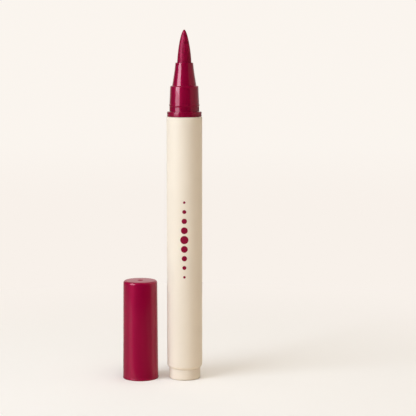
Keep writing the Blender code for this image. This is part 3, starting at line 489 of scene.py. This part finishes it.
CAD_FINISHES = {
    "polish_tank": "tank",
    "pipe_joint": "joint",
    "feed_pipe": "steel",
    "front_seal": "rubber",
    "piston_seal": "rubber",
    "piston": "white",
    "mixing_ball_a": "steel",
    "mixing_ball_b": "steel",
    "drive_sleeve": "drive",
    "click_pawls": "pawl",
    "ratchet_ring": "nut",
    "barrel": "cream",
    "tail_dial": "cream",
    "front_section": "front",
    "nib": "felt",
    "cap_shell": "cap",
    "inner_cap": "natural",
    "inner_cap_spring": "steel",
    "screw_rod": "rod",
    "rod_nut": "nut",
}


def finish_cad_nodes():
    """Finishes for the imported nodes, those that a piece stands for among them."""
    for node, finish in CAD_FINISHES.items():
        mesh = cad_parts[node].data
        mesh.materials.clear()
        mesh.materials.append(MATERIALS[finish])


# Pieces


def box_of(node):
    """The node's lowest and highest height, and its radius across X."""
    low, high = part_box(node)
    return low.z, high.z, (high.x - low.x) / 2


BARREL_LOW, BARREL_HIGH, BARREL_RADIUS = box_of("barrel")
BORE_RADIUS = BARREL_RADIUS - BARREL_WALL
PACK_RADIUS = BORE_RADIUS - FIT_GAP
SNAP_RADIUS = PACK_RADIUS + SNAP_REACH
CAP_X = (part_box("cap_shell")[0].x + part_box("cap_shell")[1].x) / 2
CAP_PLACE = (CAP_X, 0, 0)


def groove(radius, depth, low, high):
    """A square groove's four points, going up."""
    return [(radius, low), (radius + depth, low), (radius + depth, high), (radius, high)]


def near_rib(turn, width, radius):
    """Whether a turn lies within a rib's width at that radius."""
    pitch = math.tau / RIB_COUNT
    return abs((turn + pitch / 2) % pitch - pitch / 2) * radius < width / 2


def make_barrel():
    """The outer tube, with its snap grooves, shoulder and keying ribs inside."""
    rear = BARREL_LOW + REAR_GROOVE_HEIGHT
    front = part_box("front_section")[0].z + SHANK_SNAP_HEIGHT - SEAT_GAP
    shoulder = BARREL_LOW + SHOULDER_HEIGHT
    rib_top = BARREL_LOW + RIB_TOP
    depth = SNAP_REACH
    length = SNAP_LENGTH + 2 * SEAT_GAP
    outline = [
        (BARREL_RADIUS - BARREL_TOP_CHAMFER, BARREL_HIGH, BARREL_EDGE),
        (BARREL_RADIUS, BARREL_HIGH - BARREL_TOP_CHAMFER, BARREL_EDGE),
        (BARREL_RADIUS, BARREL_LOW + BARREL_BEVEL_HEIGHT, BARREL_BEVEL_HEIGHT / 2),
        (BARREL_RADIUS - BARREL_BEVEL_WIDTH, BARREL_LOW, BARREL_EDGE),
        (BORE_RADIUS, BARREL_LOW, BARREL_EDGE / 2),
        *groove(BORE_RADIUS, depth, rear, rear + length),
        (BORE_RADIUS, shoulder),
        (BORE_RADIUS - SHOULDER_REACH, shoulder),
        (BORE_RADIUS - SHOULDER_REACH, shoulder + SHOULDER_REACH),
        (BORE_RADIUS, shoulder + SHOULDER_REACH),
        (BORE_RADIUS, rib_top),
        *groove(BORE_RADIUS, depth, front, front + length),
        (BORE_RADIUS, BARREL_HIGH, BARREL_EDGE / 2),
    ]

    def ribbed(radius, height, turn):
        inside = abs(radius - BORE_RADIUS) < FIT_GAP / 4
        ribs = shoulder < height <= rib_top
        if inside and ribs and near_rib(turn, RIB_WIDTH, radius):
            radius -= RIB_DEPTH
        return straight_round(radius, height, turn)

    mesh = turned_mesh("barrel_tube", outline, 2 * ROUND_SEGMENTS, ribbed)
    add_piece("barrel_tube", mesh, "barrel_body", "cream", stands_for=["barrel"])


def make_tail_dial():
    """The tail that is turned, with its snap neck and the drive sleeve's socket."""
    low, socket_top, _ = box_of("tail_dial")
    top = BARREL_LOW - DIAL_GAP
    radius = BARREL_RADIUS - DIAL_INSET
    neck_top = BARREL_LOW + DIAL_NECK_REACH
    snap = BARREL_LOW + DIAL_SNAP_REACH
    outline = [
        (DIAL_SOCKET_RADIUS, socket_top),
        (DIAL_SOCKET_RADIUS + DIAL_SOCKET_WALL, socket_top, DIAL_TOP_EDGE),
        (DIAL_SOCKET_RADIUS + DIAL_SOCKET_WALL, top),
        (PACK_RADIUS - DIAL_NECK_WALL, top),
        (PACK_RADIUS - DIAL_NECK_WALL, neck_top, DIAL_TOP_EDGE),
        (PACK_RADIUS, neck_top, DIAL_TOP_EDGE),
        (PACK_RADIUS, snap + SNAP_LENGTH),
        (SNAP_RADIUS, snap + SNAP_LENGTH / 2),
        (SNAP_RADIUS, snap),
        (PACK_RADIUS, snap),
        (PACK_RADIUS, top),
        (radius, top, DIAL_TOP_EDGE),
        (radius, low, DIAL_EDGE),
        (0, low),
        (0, DIAL_FLOOR),
        (DIAL_SOCKET_RADIUS, DIAL_FLOOR),
    ]

    def flatted(radius, height, turn):
        x, y, z = straight_round(radius, height, turn)
        if radius <= DIAL_SOCKET_RADIUS and height > low:
            x = max(-DIAL_SOCKET_FLAT, min(DIAL_SOCKET_FLAT, x))
        return (x, y, z)

    mesh = turned_mesh("tail_dial_turned", outline, ROUND_SEGMENTS, flatted)
    add_piece("tail_dial_turned", mesh, "dial_body", "cream", stands_for=["tail_dial"])


def cone_outline(seat_top, cone_top):
    """The nib holder's outer side, from its top edge down, flaring towards its foot."""
    points = []
    for step in range(1, CONE_STEPS):
        share = step / CONE_STEPS
        flare = (CONE_FOOT_RADIUS - CONE_TOP_RADIUS) * share**CONE_FLARE_POWER
        points.append((CONE_TOP_RADIUS + flare, cone_top - (cone_top - seat_top) * share))
    return points


def make_front_section():
    """The crimson moulding: shank, flange, neck, bead, seat, cone and the nib's bore."""
    low, cone_top, _ = box_of("front_section")
    flange = low + SHANK_LENGTH
    flange_top = flange + FLANGE_HEIGHT
    flange_radius = BARREL_RADIUS - FLANGE_INSET
    split = flange + FLANGE_HEIGHT * FLANGE_SPLIT_SHARE
    bead = flange_top + NECK_HEIGHT
    bead_top = bead + BEAD_LENGTH
    seat_top = cone_top - CONE_HEIGHT
    roof = seat_top - FRONT_ROOF
    snap = low + SHANK_SNAP_HEIGHT
    bore = NIB_RADIUS + FIT_GAP
    outline = [
        (bore, cone_top, CONE_EDGE / 2),
        (CONE_TOP_RADIUS, cone_top, CONE_EDGE),
        *cone_outline(seat_top, cone_top),
        (CONE_FOOT_RADIUS, seat_top, CONE_EDGE),
        (SEAT_TOP_RADIUS, seat_top, SEAT_EDGE),
        (SEAT_FOOT_RADIUS, bead_top, BEAD_EDGE),
        (BEAD_RADIUS, bead_top - BEAD_EDGE, BEAD_EDGE),
        (BEAD_RADIUS, bead + BEAD_EDGE, BEAD_EDGE),
        (NECK_RADIUS, bead, BEAD_EDGE),
        (NECK_RADIUS, flange_top, BEAD_EDGE),
        (flange_radius, flange_top, FLANGE_EDGE),
        (flange_radius, split + FLANGE_GROOVE, FLANGE_GROOVE / 3),
        (flange_radius - FLANGE_GROOVE, split, FLANGE_GROOVE / 3),
        (flange_radius, split - FLANGE_GROOVE, FLANGE_GROOVE / 3),
        (flange_radius, flange - FLANGE_SEAM, FLANGE_EDGE / 4),
        (PACK_RADIUS, flange - FLANGE_SEAM),
        (PACK_RADIUS, snap + SNAP_LENGTH),
        (SNAP_RADIUS, snap + SNAP_LENGTH),
        (SNAP_RADIUS, snap + SNAP_LENGTH / 2),
        (PACK_RADIUS, snap),
        (PACK_RADIUS, low),
        (FRONT_BORE_RADIUS, low),
        (FRONT_BORE_RADIUS, roof),
        (bore, roof),
    ]
    mesh = turned_mesh("front_moulding", outline, ROUND_SEGMENTS)
    add_piece("front_moulding", mesh, "barrel_body", "front", stands_for=["front_section"])


def make_nib():
    """The felt nib: stem, feed bore and a pointed bulge of packed fibres."""
    low, tip, _ = box_of("nib")
    cone_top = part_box("front_section")[1].z
    reach = tip - cone_top
    outline = [(0, tip)]
    for step in range(NIB_STEPS - 1, -1, -1):
        share = step / NIB_STEPS
        radius = NIB_RADIUS * (1 - share**NIB_BULGE_POWER) ** NIB_TIP_POWER
        outline.append((radius, cone_top + reach * share))
    outline += [
        (NIB_RADIUS, low + NIB_CHAMFER),
        (NIB_RADIUS - NIB_CHAMFER, low),
        (PIPE_BORE_RADIUS, low),
        (PIPE_BORE_RADIUS, low + PIPE_REACH),
        (0, low + PIPE_REACH),
    ]

    def fibrous(radius, height, turn):
        """Shallow grooves along the nib, which end where it narrows to its tip."""
        share = min(1, max(0, (height - cone_top) / reach))
        if radius > PIPE_BORE_RADIUS and height > cone_top:
            place = Vector((math.cos(turn), math.sin(turn), 0)) * NIB_GROOVE_DENSITY
            grain = noise.noise(place + Vector((0, 0, share * NIB_GROOVE_DRIFT)))
            fade = min(1, radius / NIB_GROOVE_FULL_RADIUS)
            radius -= NIB_GROOVE_DEPTH * (NIB_GROOVE_MEAN_SHARE + grain) * fade
        return straight_round(radius, height, turn)

    mesh = turned_mesh("felt_nib", outline, ROUND_SEGMENTS, fibrous)
    add_piece("felt_nib", mesh, "barrel_body", "felt", stands_for=["nib"])


def make_cap():
    """The cap: drafted side, rounded crown with its gate mark, lip, snap ridge, stop rib."""
    _, length, _ = box_of("cap_shell")
    mouth_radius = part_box("cap_shell")[1].x - CAP_X - CAP_LIP_REACH
    top_radius = mouth_radius - CAP_DRAFT
    lip = mouth_radius + CAP_LIP_REACH
    ridge = CAP_BORE_RADIUS - CAP_SNAP_REACH
    ridge_top = CAP_SNAP_HEIGHT + CAP_SNAP_LENGTH
    ceiling = length - CAP_TOP_WALL
    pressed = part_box("inner_cap")[0].z + INNER_PRESS
    stop_rib = pressed + STOP_RIB_GAP
    stop_rib_top = stop_rib + STOP_RIB_HEIGHT
    bore_top = pressed + INNER_RING_TOP
    outline = [
        (0, length - GATE_DEPTH),
        (GATE_RADIUS, length - GATE_DEPTH, GATE_DEPTH / 2),
        (GATE_RADIUS + GATE_DEPTH, length, GATE_DEPTH / 2),
        (top_radius, length, CAP_EDGE),
        (mouth_radius, CAP_LIP_HEIGHT + CAP_LIP_REACH, CAP_LIP_REACH),
        (lip, CAP_LIP_HEIGHT, CAP_LIP_REACH),
        (lip, 0, CAP_LIP_HEIGHT / 2),
        (CAP_BORE_RADIUS + CAP_LEAD_IN, 0),
        (CAP_BORE_RADIUS, CAP_LEAD_IN),
        (CAP_BORE_RADIUS, CAP_SNAP_HEIGHT),
        (ridge, CAP_SNAP_HEIGHT + CAP_SNAP_REACH),
        (ridge, ridge_top - CAP_SNAP_REACH),
        (CAP_BORE_RADIUS, ridge_top),
        (CAP_BORE_RADIUS, stop_rib),
        (STOP_RIB_RADIUS, stop_rib),
        (STOP_RIB_RADIUS, stop_rib_top),
        (CAP_BORE_RADIUS, stop_rib_top),
        (CAP_BORE_RADIUS, bore_top),
        (top_radius - CAP_SIDE_WALL, ceiling, CAP_EDGE / 2),
        (0, ceiling),
    ]
    mesh = turned_mesh("cap_moulding", outline, ROUND_SEGMENTS)
    add_piece("cap_moulding", mesh, "cap_body", "cap", CAP_PLACE, ["cap_shell"])


def make_inner_cap():
    """The sealing cup, with its ring, its spring step and its conical bore."""
    low, high, _ = box_of("inner_cap")
    step = low + CONE_HEIGHT
    ring_top = low + INNER_RING_TOP
    ring = ring_top - INNER_RING_HEIGHT
    outline = [
        (0, high),
        (INNER_BODY_RADIUS, high, INNER_EDGE),
        (INNER_BODY_RADIUS, step),
        (INNER_SHOULDER_RADIUS, step, INNER_EDGE / 4),
        (INNER_SHOULDER_RADIUS, ring_top),
        (INNER_RING_RADIUS, ring_top, INNER_EDGE / 4),
        (INNER_RING_RADIUS, ring, INNER_EDGE / 4),
        (INNER_MOUTH_RADIUS, ring),
        (INNER_MOUTH_RADIUS, low),
        (INNER_MOUTH_BORE, low),
        (INNER_STEP_BORE, step),
        (INNER_STEP_BORE, high - INNER_TOP_WALL, INNER_EDGE),
        (0, high - INNER_TOP_WALL),
    ]
    mesh = turned_mesh("sealing_cup", outline, INNER_SEGMENTS)
    add_piece("sealing_cup", mesh, "inner_cap_body", "natural", CAP_PLACE, ["inner_cap"])


def spring_path(low, high):
    """A helix whose end turns lie closed on themselves, from low to high."""
    closed = SPRING_CLOSED_TURNS
    open_turns = SPRING_TURNS - 2 * closed
    first = low + SPRING_WIRE / 2
    last = high - SPRING_WIRE / 2
    closed_rise = closed * (SPRING_WIRE + SPRING_END_GAP)
    open_rise = last - first - 2 * closed_rise
    points = []
    for index in range(SPRING_TURNS * SPRING_TURN_POINTS + 1):
        turns = index / SPRING_TURN_POINTS
        inner = min(max(turns - closed, 0), open_turns)
        outer = turns - inner
        height = first + outer * closed_rise / closed + inner * open_rise / open_turns
        turn = math.tau * turns
        points.append((SPRING_RADIUS * math.cos(turn), SPRING_RADIUS * math.sin(turn), height))
    return points


def make_spring():
    """The coil spring behind the sealing cup, as one swept wire with closed ends."""
    low, high, _ = box_of("inner_cap_spring")
    points = [Vector(point) for point in spring_path(low, high)]
    shape = bmesh.new()
    rings = []
    for index, point in enumerate(points):
        ahead = points[min(index + 1, len(points) - 1)]
        behind = points[max(index - 1, 0)]
        along = (ahead - behind).normalized()
        outward = Vector((point.x, point.y, 0)).normalized()
        across = along.cross(outward).normalized()
        ring = []
        for side in range(SPRING_SIDES):
            turn = math.tau * side / SPRING_SIDES
            offset = outward * math.cos(turn) + across * math.sin(turn)
            ring.append(shape.verts.new(point + offset * SPRING_WIRE / 2))
        rings.append(ring)
    for near, far in zip(rings, rings[1:]):
        for side in range(SPRING_SIDES):
            after = (side + 1) % SPRING_SIDES
            shape.faces.new([near[side], near[after], far[after], far[side]])
    shape.faces.new(rings[0])
    shape.faces.new(rings[-1])
    mesh = finished_mesh("coil_spring", shape)
    node = "inner_cap_spring"
    spring = add_piece("coil_spring", mesh, "cap_body", "steel", CAP_PLACE, [node])
    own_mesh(spring)


def thread(height, turn, radius, depth):
    """A multi-start thread's radius: straight flanks between narrow crests and roots."""
    phase = (height / THREAD_LEAD - turn / math.tau) * THREAD_STARTS % 1
    slope = abs(2 * phase - 1) * THREAD_FLANK - (THREAD_FLANK - 1) / 2
    return radius - depth * min(1, max(0, slope))


def make_screw_rod():
    """The rod: a four-start thread with two flats, and the head that the piston snaps on."""
    low, high, _ = box_of("screw_rod")
    body_top = high - ROD_HEAD_HEIGHT - ROD_NECK_LENGTH
    neck_top = high - ROD_HEAD_HEIGHT
    rows = round((body_top - low) / THREAD_LEAD * THREAD_STARTS * THREAD_STEPS)
    outline = [
        (0, high),
        (ROD_HEAD_RADIUS, high, ROD_HEAD_HEIGHT / 2),
        (ROD_HEAD_RADIUS, neck_top),
        (ROD_NECK_RADIUS, neck_top),
        (ROD_NECK_RADIUS, body_top),
    ]
    outline += [(ROD_RADIUS, body_top + (low - body_top) * row / rows) for row in range(rows + 1)]
    outline.append((0, low))

    def threaded(radius, height, turn):
        if radius < ROD_RADIUS:
            return straight_round(radius, height, turn)
        x, y, z = straight_round(thread(height, turn, radius, THREAD_DEPTH), height, turn)
        return (max(-ROD_FLAT, min(ROD_FLAT, x)), y, z)

    mesh = turned_mesh("threaded_rod", outline, THREAD_SEGMENTS, threaded)
    add_piece("threaded_rod", mesh, "rod_body", "rod", stands_for=["screw_rod"])


def make_rod_nut():
    """The fixed screw guide: a threaded web on a skirt with keyways for the barrel's ribs."""
    low, high, _ = box_of("rod_nut")
    web = high - NUT_WEB_HEIGHT
    key_top = low + NUT_KEY_LENGTH
    crest = ROD_RADIUS + THREAD_GAP
    rows = round(NUT_WEB_HEIGHT / THREAD_LEAD * THREAD_STARTS * THREAD_STEPS)
    skirt = PACK_RADIUS - NUT_SKIRT_WALL
    outline = [
        (PACK_RADIUS, high),
        (PACK_RADIUS, key_top),
        (PACK_RADIUS, low),
        (skirt, low),
        (skirt, web),
    ]
    outline += [(crest, web + NUT_WEB_HEIGHT * row / rows) for row in range(rows + 1)]

    def shaped(radius, height, turn):
        if radius == crest:
            radius = thread(height, turn, radius, THREAD_DEPTH)
        keyed = radius == PACK_RADIUS and height < key_top - SEAT_GAP
        if keyed and near_rib(turn, NUT_KEY_WIDTH, radius):
            radius -= NUT_KEY_DEPTH + FIT_GAP
        return straight_round(radius, height, turn)

    mesh = turned_mesh("threaded_nut", outline, 2 * THREAD_SEGMENTS, shaped)
    add_piece("threaded_nut", mesh, "barrel_body", "nut", stands_for=["rod_nut"])


def wrapped(radius, across, height):
    """A flat place wrapped round the barrel's front."""
    turn = across / BARREL_RADIUS - math.pi / 2
    return (radius * math.cos(turn), radius * math.sin(turn), DOT_MIDDLE + height)


def dot_mesh(name, size, middle):
    """A round dot of ink, in rings that follow the barrel, with its rim sunk in it."""
    shape = bmesh.new()
    top = BARREL_RADIUS + DOT_PROUD
    turns = [math.tau * index / DOT_SEGMENTS for index in range(DOT_SEGMENTS)]
    spans = [(top, size * (ring + 1) / DOT_RINGS) for ring in range(DOT_RINGS)]
    rings = []
    for radius, reach in (*spans, (BARREL_RADIUS - DOT_SINK, size)):
        places = ((reach * math.cos(turn), middle + reach * math.sin(turn)) for turn in turns)
        rings.append([shape.verts.new(wrapped(radius, x, z)) for x, z in places])
    for inner, outer in zip(rings, rings[1:]):
        for index in range(DOT_SEGMENTS):
            after = (index + 1) % DOT_SEGMENTS
            shape.faces.new([inner[index], inner[after], outer[after], outer[index]])
    shape.faces.new(rings[0])
    shape.faces.new(rings[-1])
    return finished_mesh(name, shape)


def make_print():
    """A column of printed dots up the barrel's front, largest in the middle."""
    half = (DOT_COUNT - 1) / 2
    for index in range(DOT_COUNT):
        step = index - half
        size = DOT_LARGEST_RADIUS + (DOT_SMALLEST_RADIUS - DOT_LARGEST_RADIUS) * abs(step) / half
        name = f"print_dot_{index + 1}"
        mesh = dot_mesh(name, size, step * DOT_PITCH)
        add_piece(name, mesh, "barrel_body", "print")


# Stage, light and camera


def mixed(tree, kind, factor, first, second):
    """A mix of two shaders, or of two colours, by a factor."""
    mix = tree.nodes.new(kind)
    tree.links.new(factor, mix.inputs["Fac"])
    for socket, value in zip(list(mix.inputs)[1:3], (first, second)):
        if isinstance(value, tuple):
            socket.default_value = value
        else:
            tree.links.new(value, socket)
    return mix.outputs[0]


def seen_directly(tree, path):
    """One where a ray comes from the camera or through clear material, zero elsewhere."""
    either = tree.nodes.new("ShaderNodeMath")
    either.operation = "MAXIMUM"
    tree.links.new(path.outputs["Is Camera Ray"], either.inputs[0])
    tree.links.new(path.outputs["Is Transmission Ray"], either.inputs[1])
    return either.outputs["Value"]


def add_span(tree, source, span, low=0.0, high=1.0):
    """A number that goes smoothly from low to high while the source crosses the span."""
    spread = tree.nodes.new("ShaderNodeMapRange")
    spread.interpolation_type = "SMOOTHSTEP"
    spread.inputs["From Min"].default_value, spread.inputs["From Max"].default_value = span
    spread.inputs["To Min"].default_value = low
    spread.inputs["To Max"].default_value = high
    tree.links.new(source, spread.inputs["Value"])
    return spread.outputs["Result"]


def add_glow(tree, colour, strength):
    """A colour that is shown as it is, whatever light falls on it."""
    glow = tree.nodes.new("ShaderNodeEmission")
    tree.links.new(colour, glow.inputs["Color"])
    glow.inputs["Strength"].default_value = strength
    return glow.outputs["Emission"]


def add_sky(tree, colour, strength):
    """A plain background all round."""
    sky = tree.nodes.new("ShaderNodeBackground")
    sky.inputs["Color"].default_value = (*colour, 1)
    sky.inputs["Strength"].default_value = strength
    return sky


def painted_floor_reflections(tree, place, away):
    """The floor in mirror images as painted light and shade: pale behind, graded at the sides, dark
    far off.
    """
    direction = tree.nodes.new("ShaderNodeVectorMath")
    direction.operation = "NORMALIZE"
    tree.links.new(place, direction.inputs[0])
    axes = tree.nodes.new("ShaderNodeSeparateXYZ")
    tree.links.new(direction.outputs["Vector"], axes.inputs["Vector"])
    depth = add_span(tree, axes.outputs["Y"], (-1, 1))
    sides = []
    for stops in (FLOOR_MIRROR_LEFT_PAINTED_LIGHT, FLOOR_MIRROR_RIGHT_PAINTED_LIGHT):
        tinted = [(stop, [tone * tint for tint in FLOOR_MIRROR_TINT]) for stop, tone in stops]
        sides.append(add_ramp(tree, depth, tinted))
    rightward = add_span(tree, axes.outputs["X"], FLOOR_MIRROR_SIDES)
    flank = mixed(tree, "ShaderNodeMixRGB", rightward, *sides)
    near = add_span(tree, away, FLOOR_MIRROR_REACH)
    tone = mixed(tree, "ShaderNodeMixRGB", near, (*FLOOR_MIRROR_PAINTED_SHADE, 1), flank)
    behind = add_span(tree, axes.outputs["Y"], MIRROR_EDGE)
    return mixed(tree, "ShaderNodeMixRGB", behind, tone, (*FLOOR_MIRROR_PALE, 1))


def floor_material():
    """Lit and shadowed near the pen, and further off an even tone that fades away."""
    material, tree, shader = new_material("floor_pale", FLOOR_ROUGHNESS, specular=0)
    path = tree.nodes.new("ShaderNodeLightPath")
    seen = seen_directly(tree, path)
    place = tree.nodes.new("ShaderNodeTexCoord").outputs["Object"]
    length = tree.nodes.new("ShaderNodeVectorMath")
    length.operation = "LENGTH"
    tree.links.new(place, length.inputs[0])
    away = length.outputs["Value"]
    glossy = path.outputs["Is Glossy Ray"]
    # In mirror images the floor shows painted light and shade in place of its own even tone
    mirrored = painted_floor_reflections(tree, place, away)
    unseen = mixed(tree, "ShaderNodeMixRGB", glossy, (*FLOOR_BOUNCE, 1), mirrored)
    colour = mixed(tree, "ShaderNodeMixRGB", seen, unseen, (*FLOOR_SEEN, 1))
    tree.links.new(colour, shader.inputs["Base Color"])
    fade = add_span(tree, away, FLOOR_FADE_REACH)
    tone = mixed(tree, "ShaderNodeMixRGB", fade, (*FLOOR_TONE, 1), (*BACKGROUND, 1))
    far = add_glow(tree, tone, 1)
    near = tree.nodes.new("ShaderNodeAddShader")
    tree.links.new(shader.outputs["BSDF"], near.inputs[0])
    tree.links.new(add_glow(tree, tone, FLOOR_GLOW), near.inputs[1])
    unlit = add_span(tree, away, FLOOR_LIT_REACH)
    shown = mixed(tree, "ShaderNodeMixShader", unlit, near.outputs["Shader"], far)
    surface = mixed(tree, "ShaderNodeMixShader", seen, shader.outputs["BSDF"], shown)
    tree.links.new(surface, tree.nodes["Material Output"].inputs["Surface"])
    return material


def add_floor():
    """A wide pale floor under the pen and its cap."""
    mesh = bpy.data.meshes.new("floor")
    corners = [(x * FLOOR_REACH, y * FLOOR_REACH, 0) for x, y in ((-1, -1), (1, -1), (1, 1), (-1, 1))]
    mesh.from_pydata(corners, [], [(0, 1, 2, 3)])
    mesh.materials.append(floor_material())
    floor = bpy.data.objects.new("floor", mesh)
    bpy.context.scene.collection.objects.link(floor)


def set_world():
    """A pale background, over a studio that is pale behind the pen and dark before it."""
    world = bpy.data.worlds.new("studio")
    bpy.context.scene.world = world
    world.use_nodes = True
    tree = world.node_tree
    path = tree.nodes.new("ShaderNodeLightPath")
    place = tree.nodes.new("ShaderNodeTexCoord")
    axes = tree.nodes.new("ShaderNodeSeparateXYZ")
    tree.links.new(place.outputs["Generated"], axes.inputs["Vector"])
    mirror = add_sky(tree, BACKGROUND, MIRROR_PALE)
    behind = add_span(tree, axes.outputs["Y"], MIRROR_EDGE, MIRROR_DARK, MIRROR_PALE)
    tree.links.new(behind, mirror.inputs["Strength"])
    fill = add_sky(tree, SKY_COLOUR, SKY_STRENGTH).outputs["Background"]
    glossy = path.outputs["Is Glossy Ray"]
    light = mixed(tree, "ShaderNodeMixShader", glossy, fill, mirror.outputs["Background"])
    shown = add_sky(tree, BACKGROUND, 1).outputs["Background"]
    surface = mixed(tree, "ShaderNodeMixShader", seen_directly(tree, path), light, shown)
    tree.links.new(surface, tree.nodes["World Output"].inputs["Surface"])


def add_softbox(name, place, size, radiance, colour, mirrored=True, lights=True):
    """A rectangular lamp that faces the pen, by its brightness and not its power.

    It can be kept out of mirror images, or show in them without lighting anything.
    """
    width, height = size
    lamp = bpy.data.lights.new(name, "AREA")
    lamp.color = colour
    lamp.shape = "RECTANGLE"
    lamp.size = width
    lamp.size_y = height
    lamp.energy = radiance * math.pi * width * height
    piece = bpy.data.objects.new(name, lamp)
    piece.location = place
    piece.rotation_euler = (Vector(LAMP_TARGET) - Vector(place)).to_track_quat("-Z", "Y").to_euler()
    piece.visible_glossy = mirrored
    piece.visible_diffuse = lights
    bpy.context.scene.collection.objects.link(piece)


def add_lamps():
    """A cool key at the left with its streak, a weak panel at the right, and warm fills."""
    add_softbox("key", *KEY, KEY_COLOUR)
    add_softbox("right_panel", *RIGHT_PANEL, WARM_WHITE)
    add_softbox("right_fill", *RIGHT_FILL, WARM_WHITE, mirrored=False)
    add_softbox("top", *TOP_FILL, WARM_WHITE, mirrored=False)
    add_softbox("back_fill", *BACK_FILL, WARM_WHITE, mirrored=False)
    add_softbox("key_gloss", *KEY_GLOSS, KEY_COLOUR, lights=False)


def add_camera():
    """The camera, with its lens worked out from the image's pixels."""
    data = bpy.data.cameras.new("camera")
    data.sensor_width = SENSOR_WIDTH_MM
    data.lens = FOCAL_PIXELS / IMAGE_PIXELS * SENSOR_WIDTH_MM
    camera = bpy.data.objects.new("camera", data)
    camera.location = CAMERA_PLACE
    camera.rotation_euler = (math.radians(90 - CAMERA_TIP_DEG), 0, 0)
    bpy.context.scene.collection.objects.link(camera)
    bpy.context.scene.camera = camera


finish_cad_nodes()
make_barrel()
make_tail_dial()
make_front_section()
make_nib()
make_cap()
make_inner_cap()
make_spring()
make_screw_rod()
make_rod_nut()
make_print()
add_floor()
set_world()
add_lamps()
add_camera()
bpy.context.scene.view_settings.view_transform = "Standard"
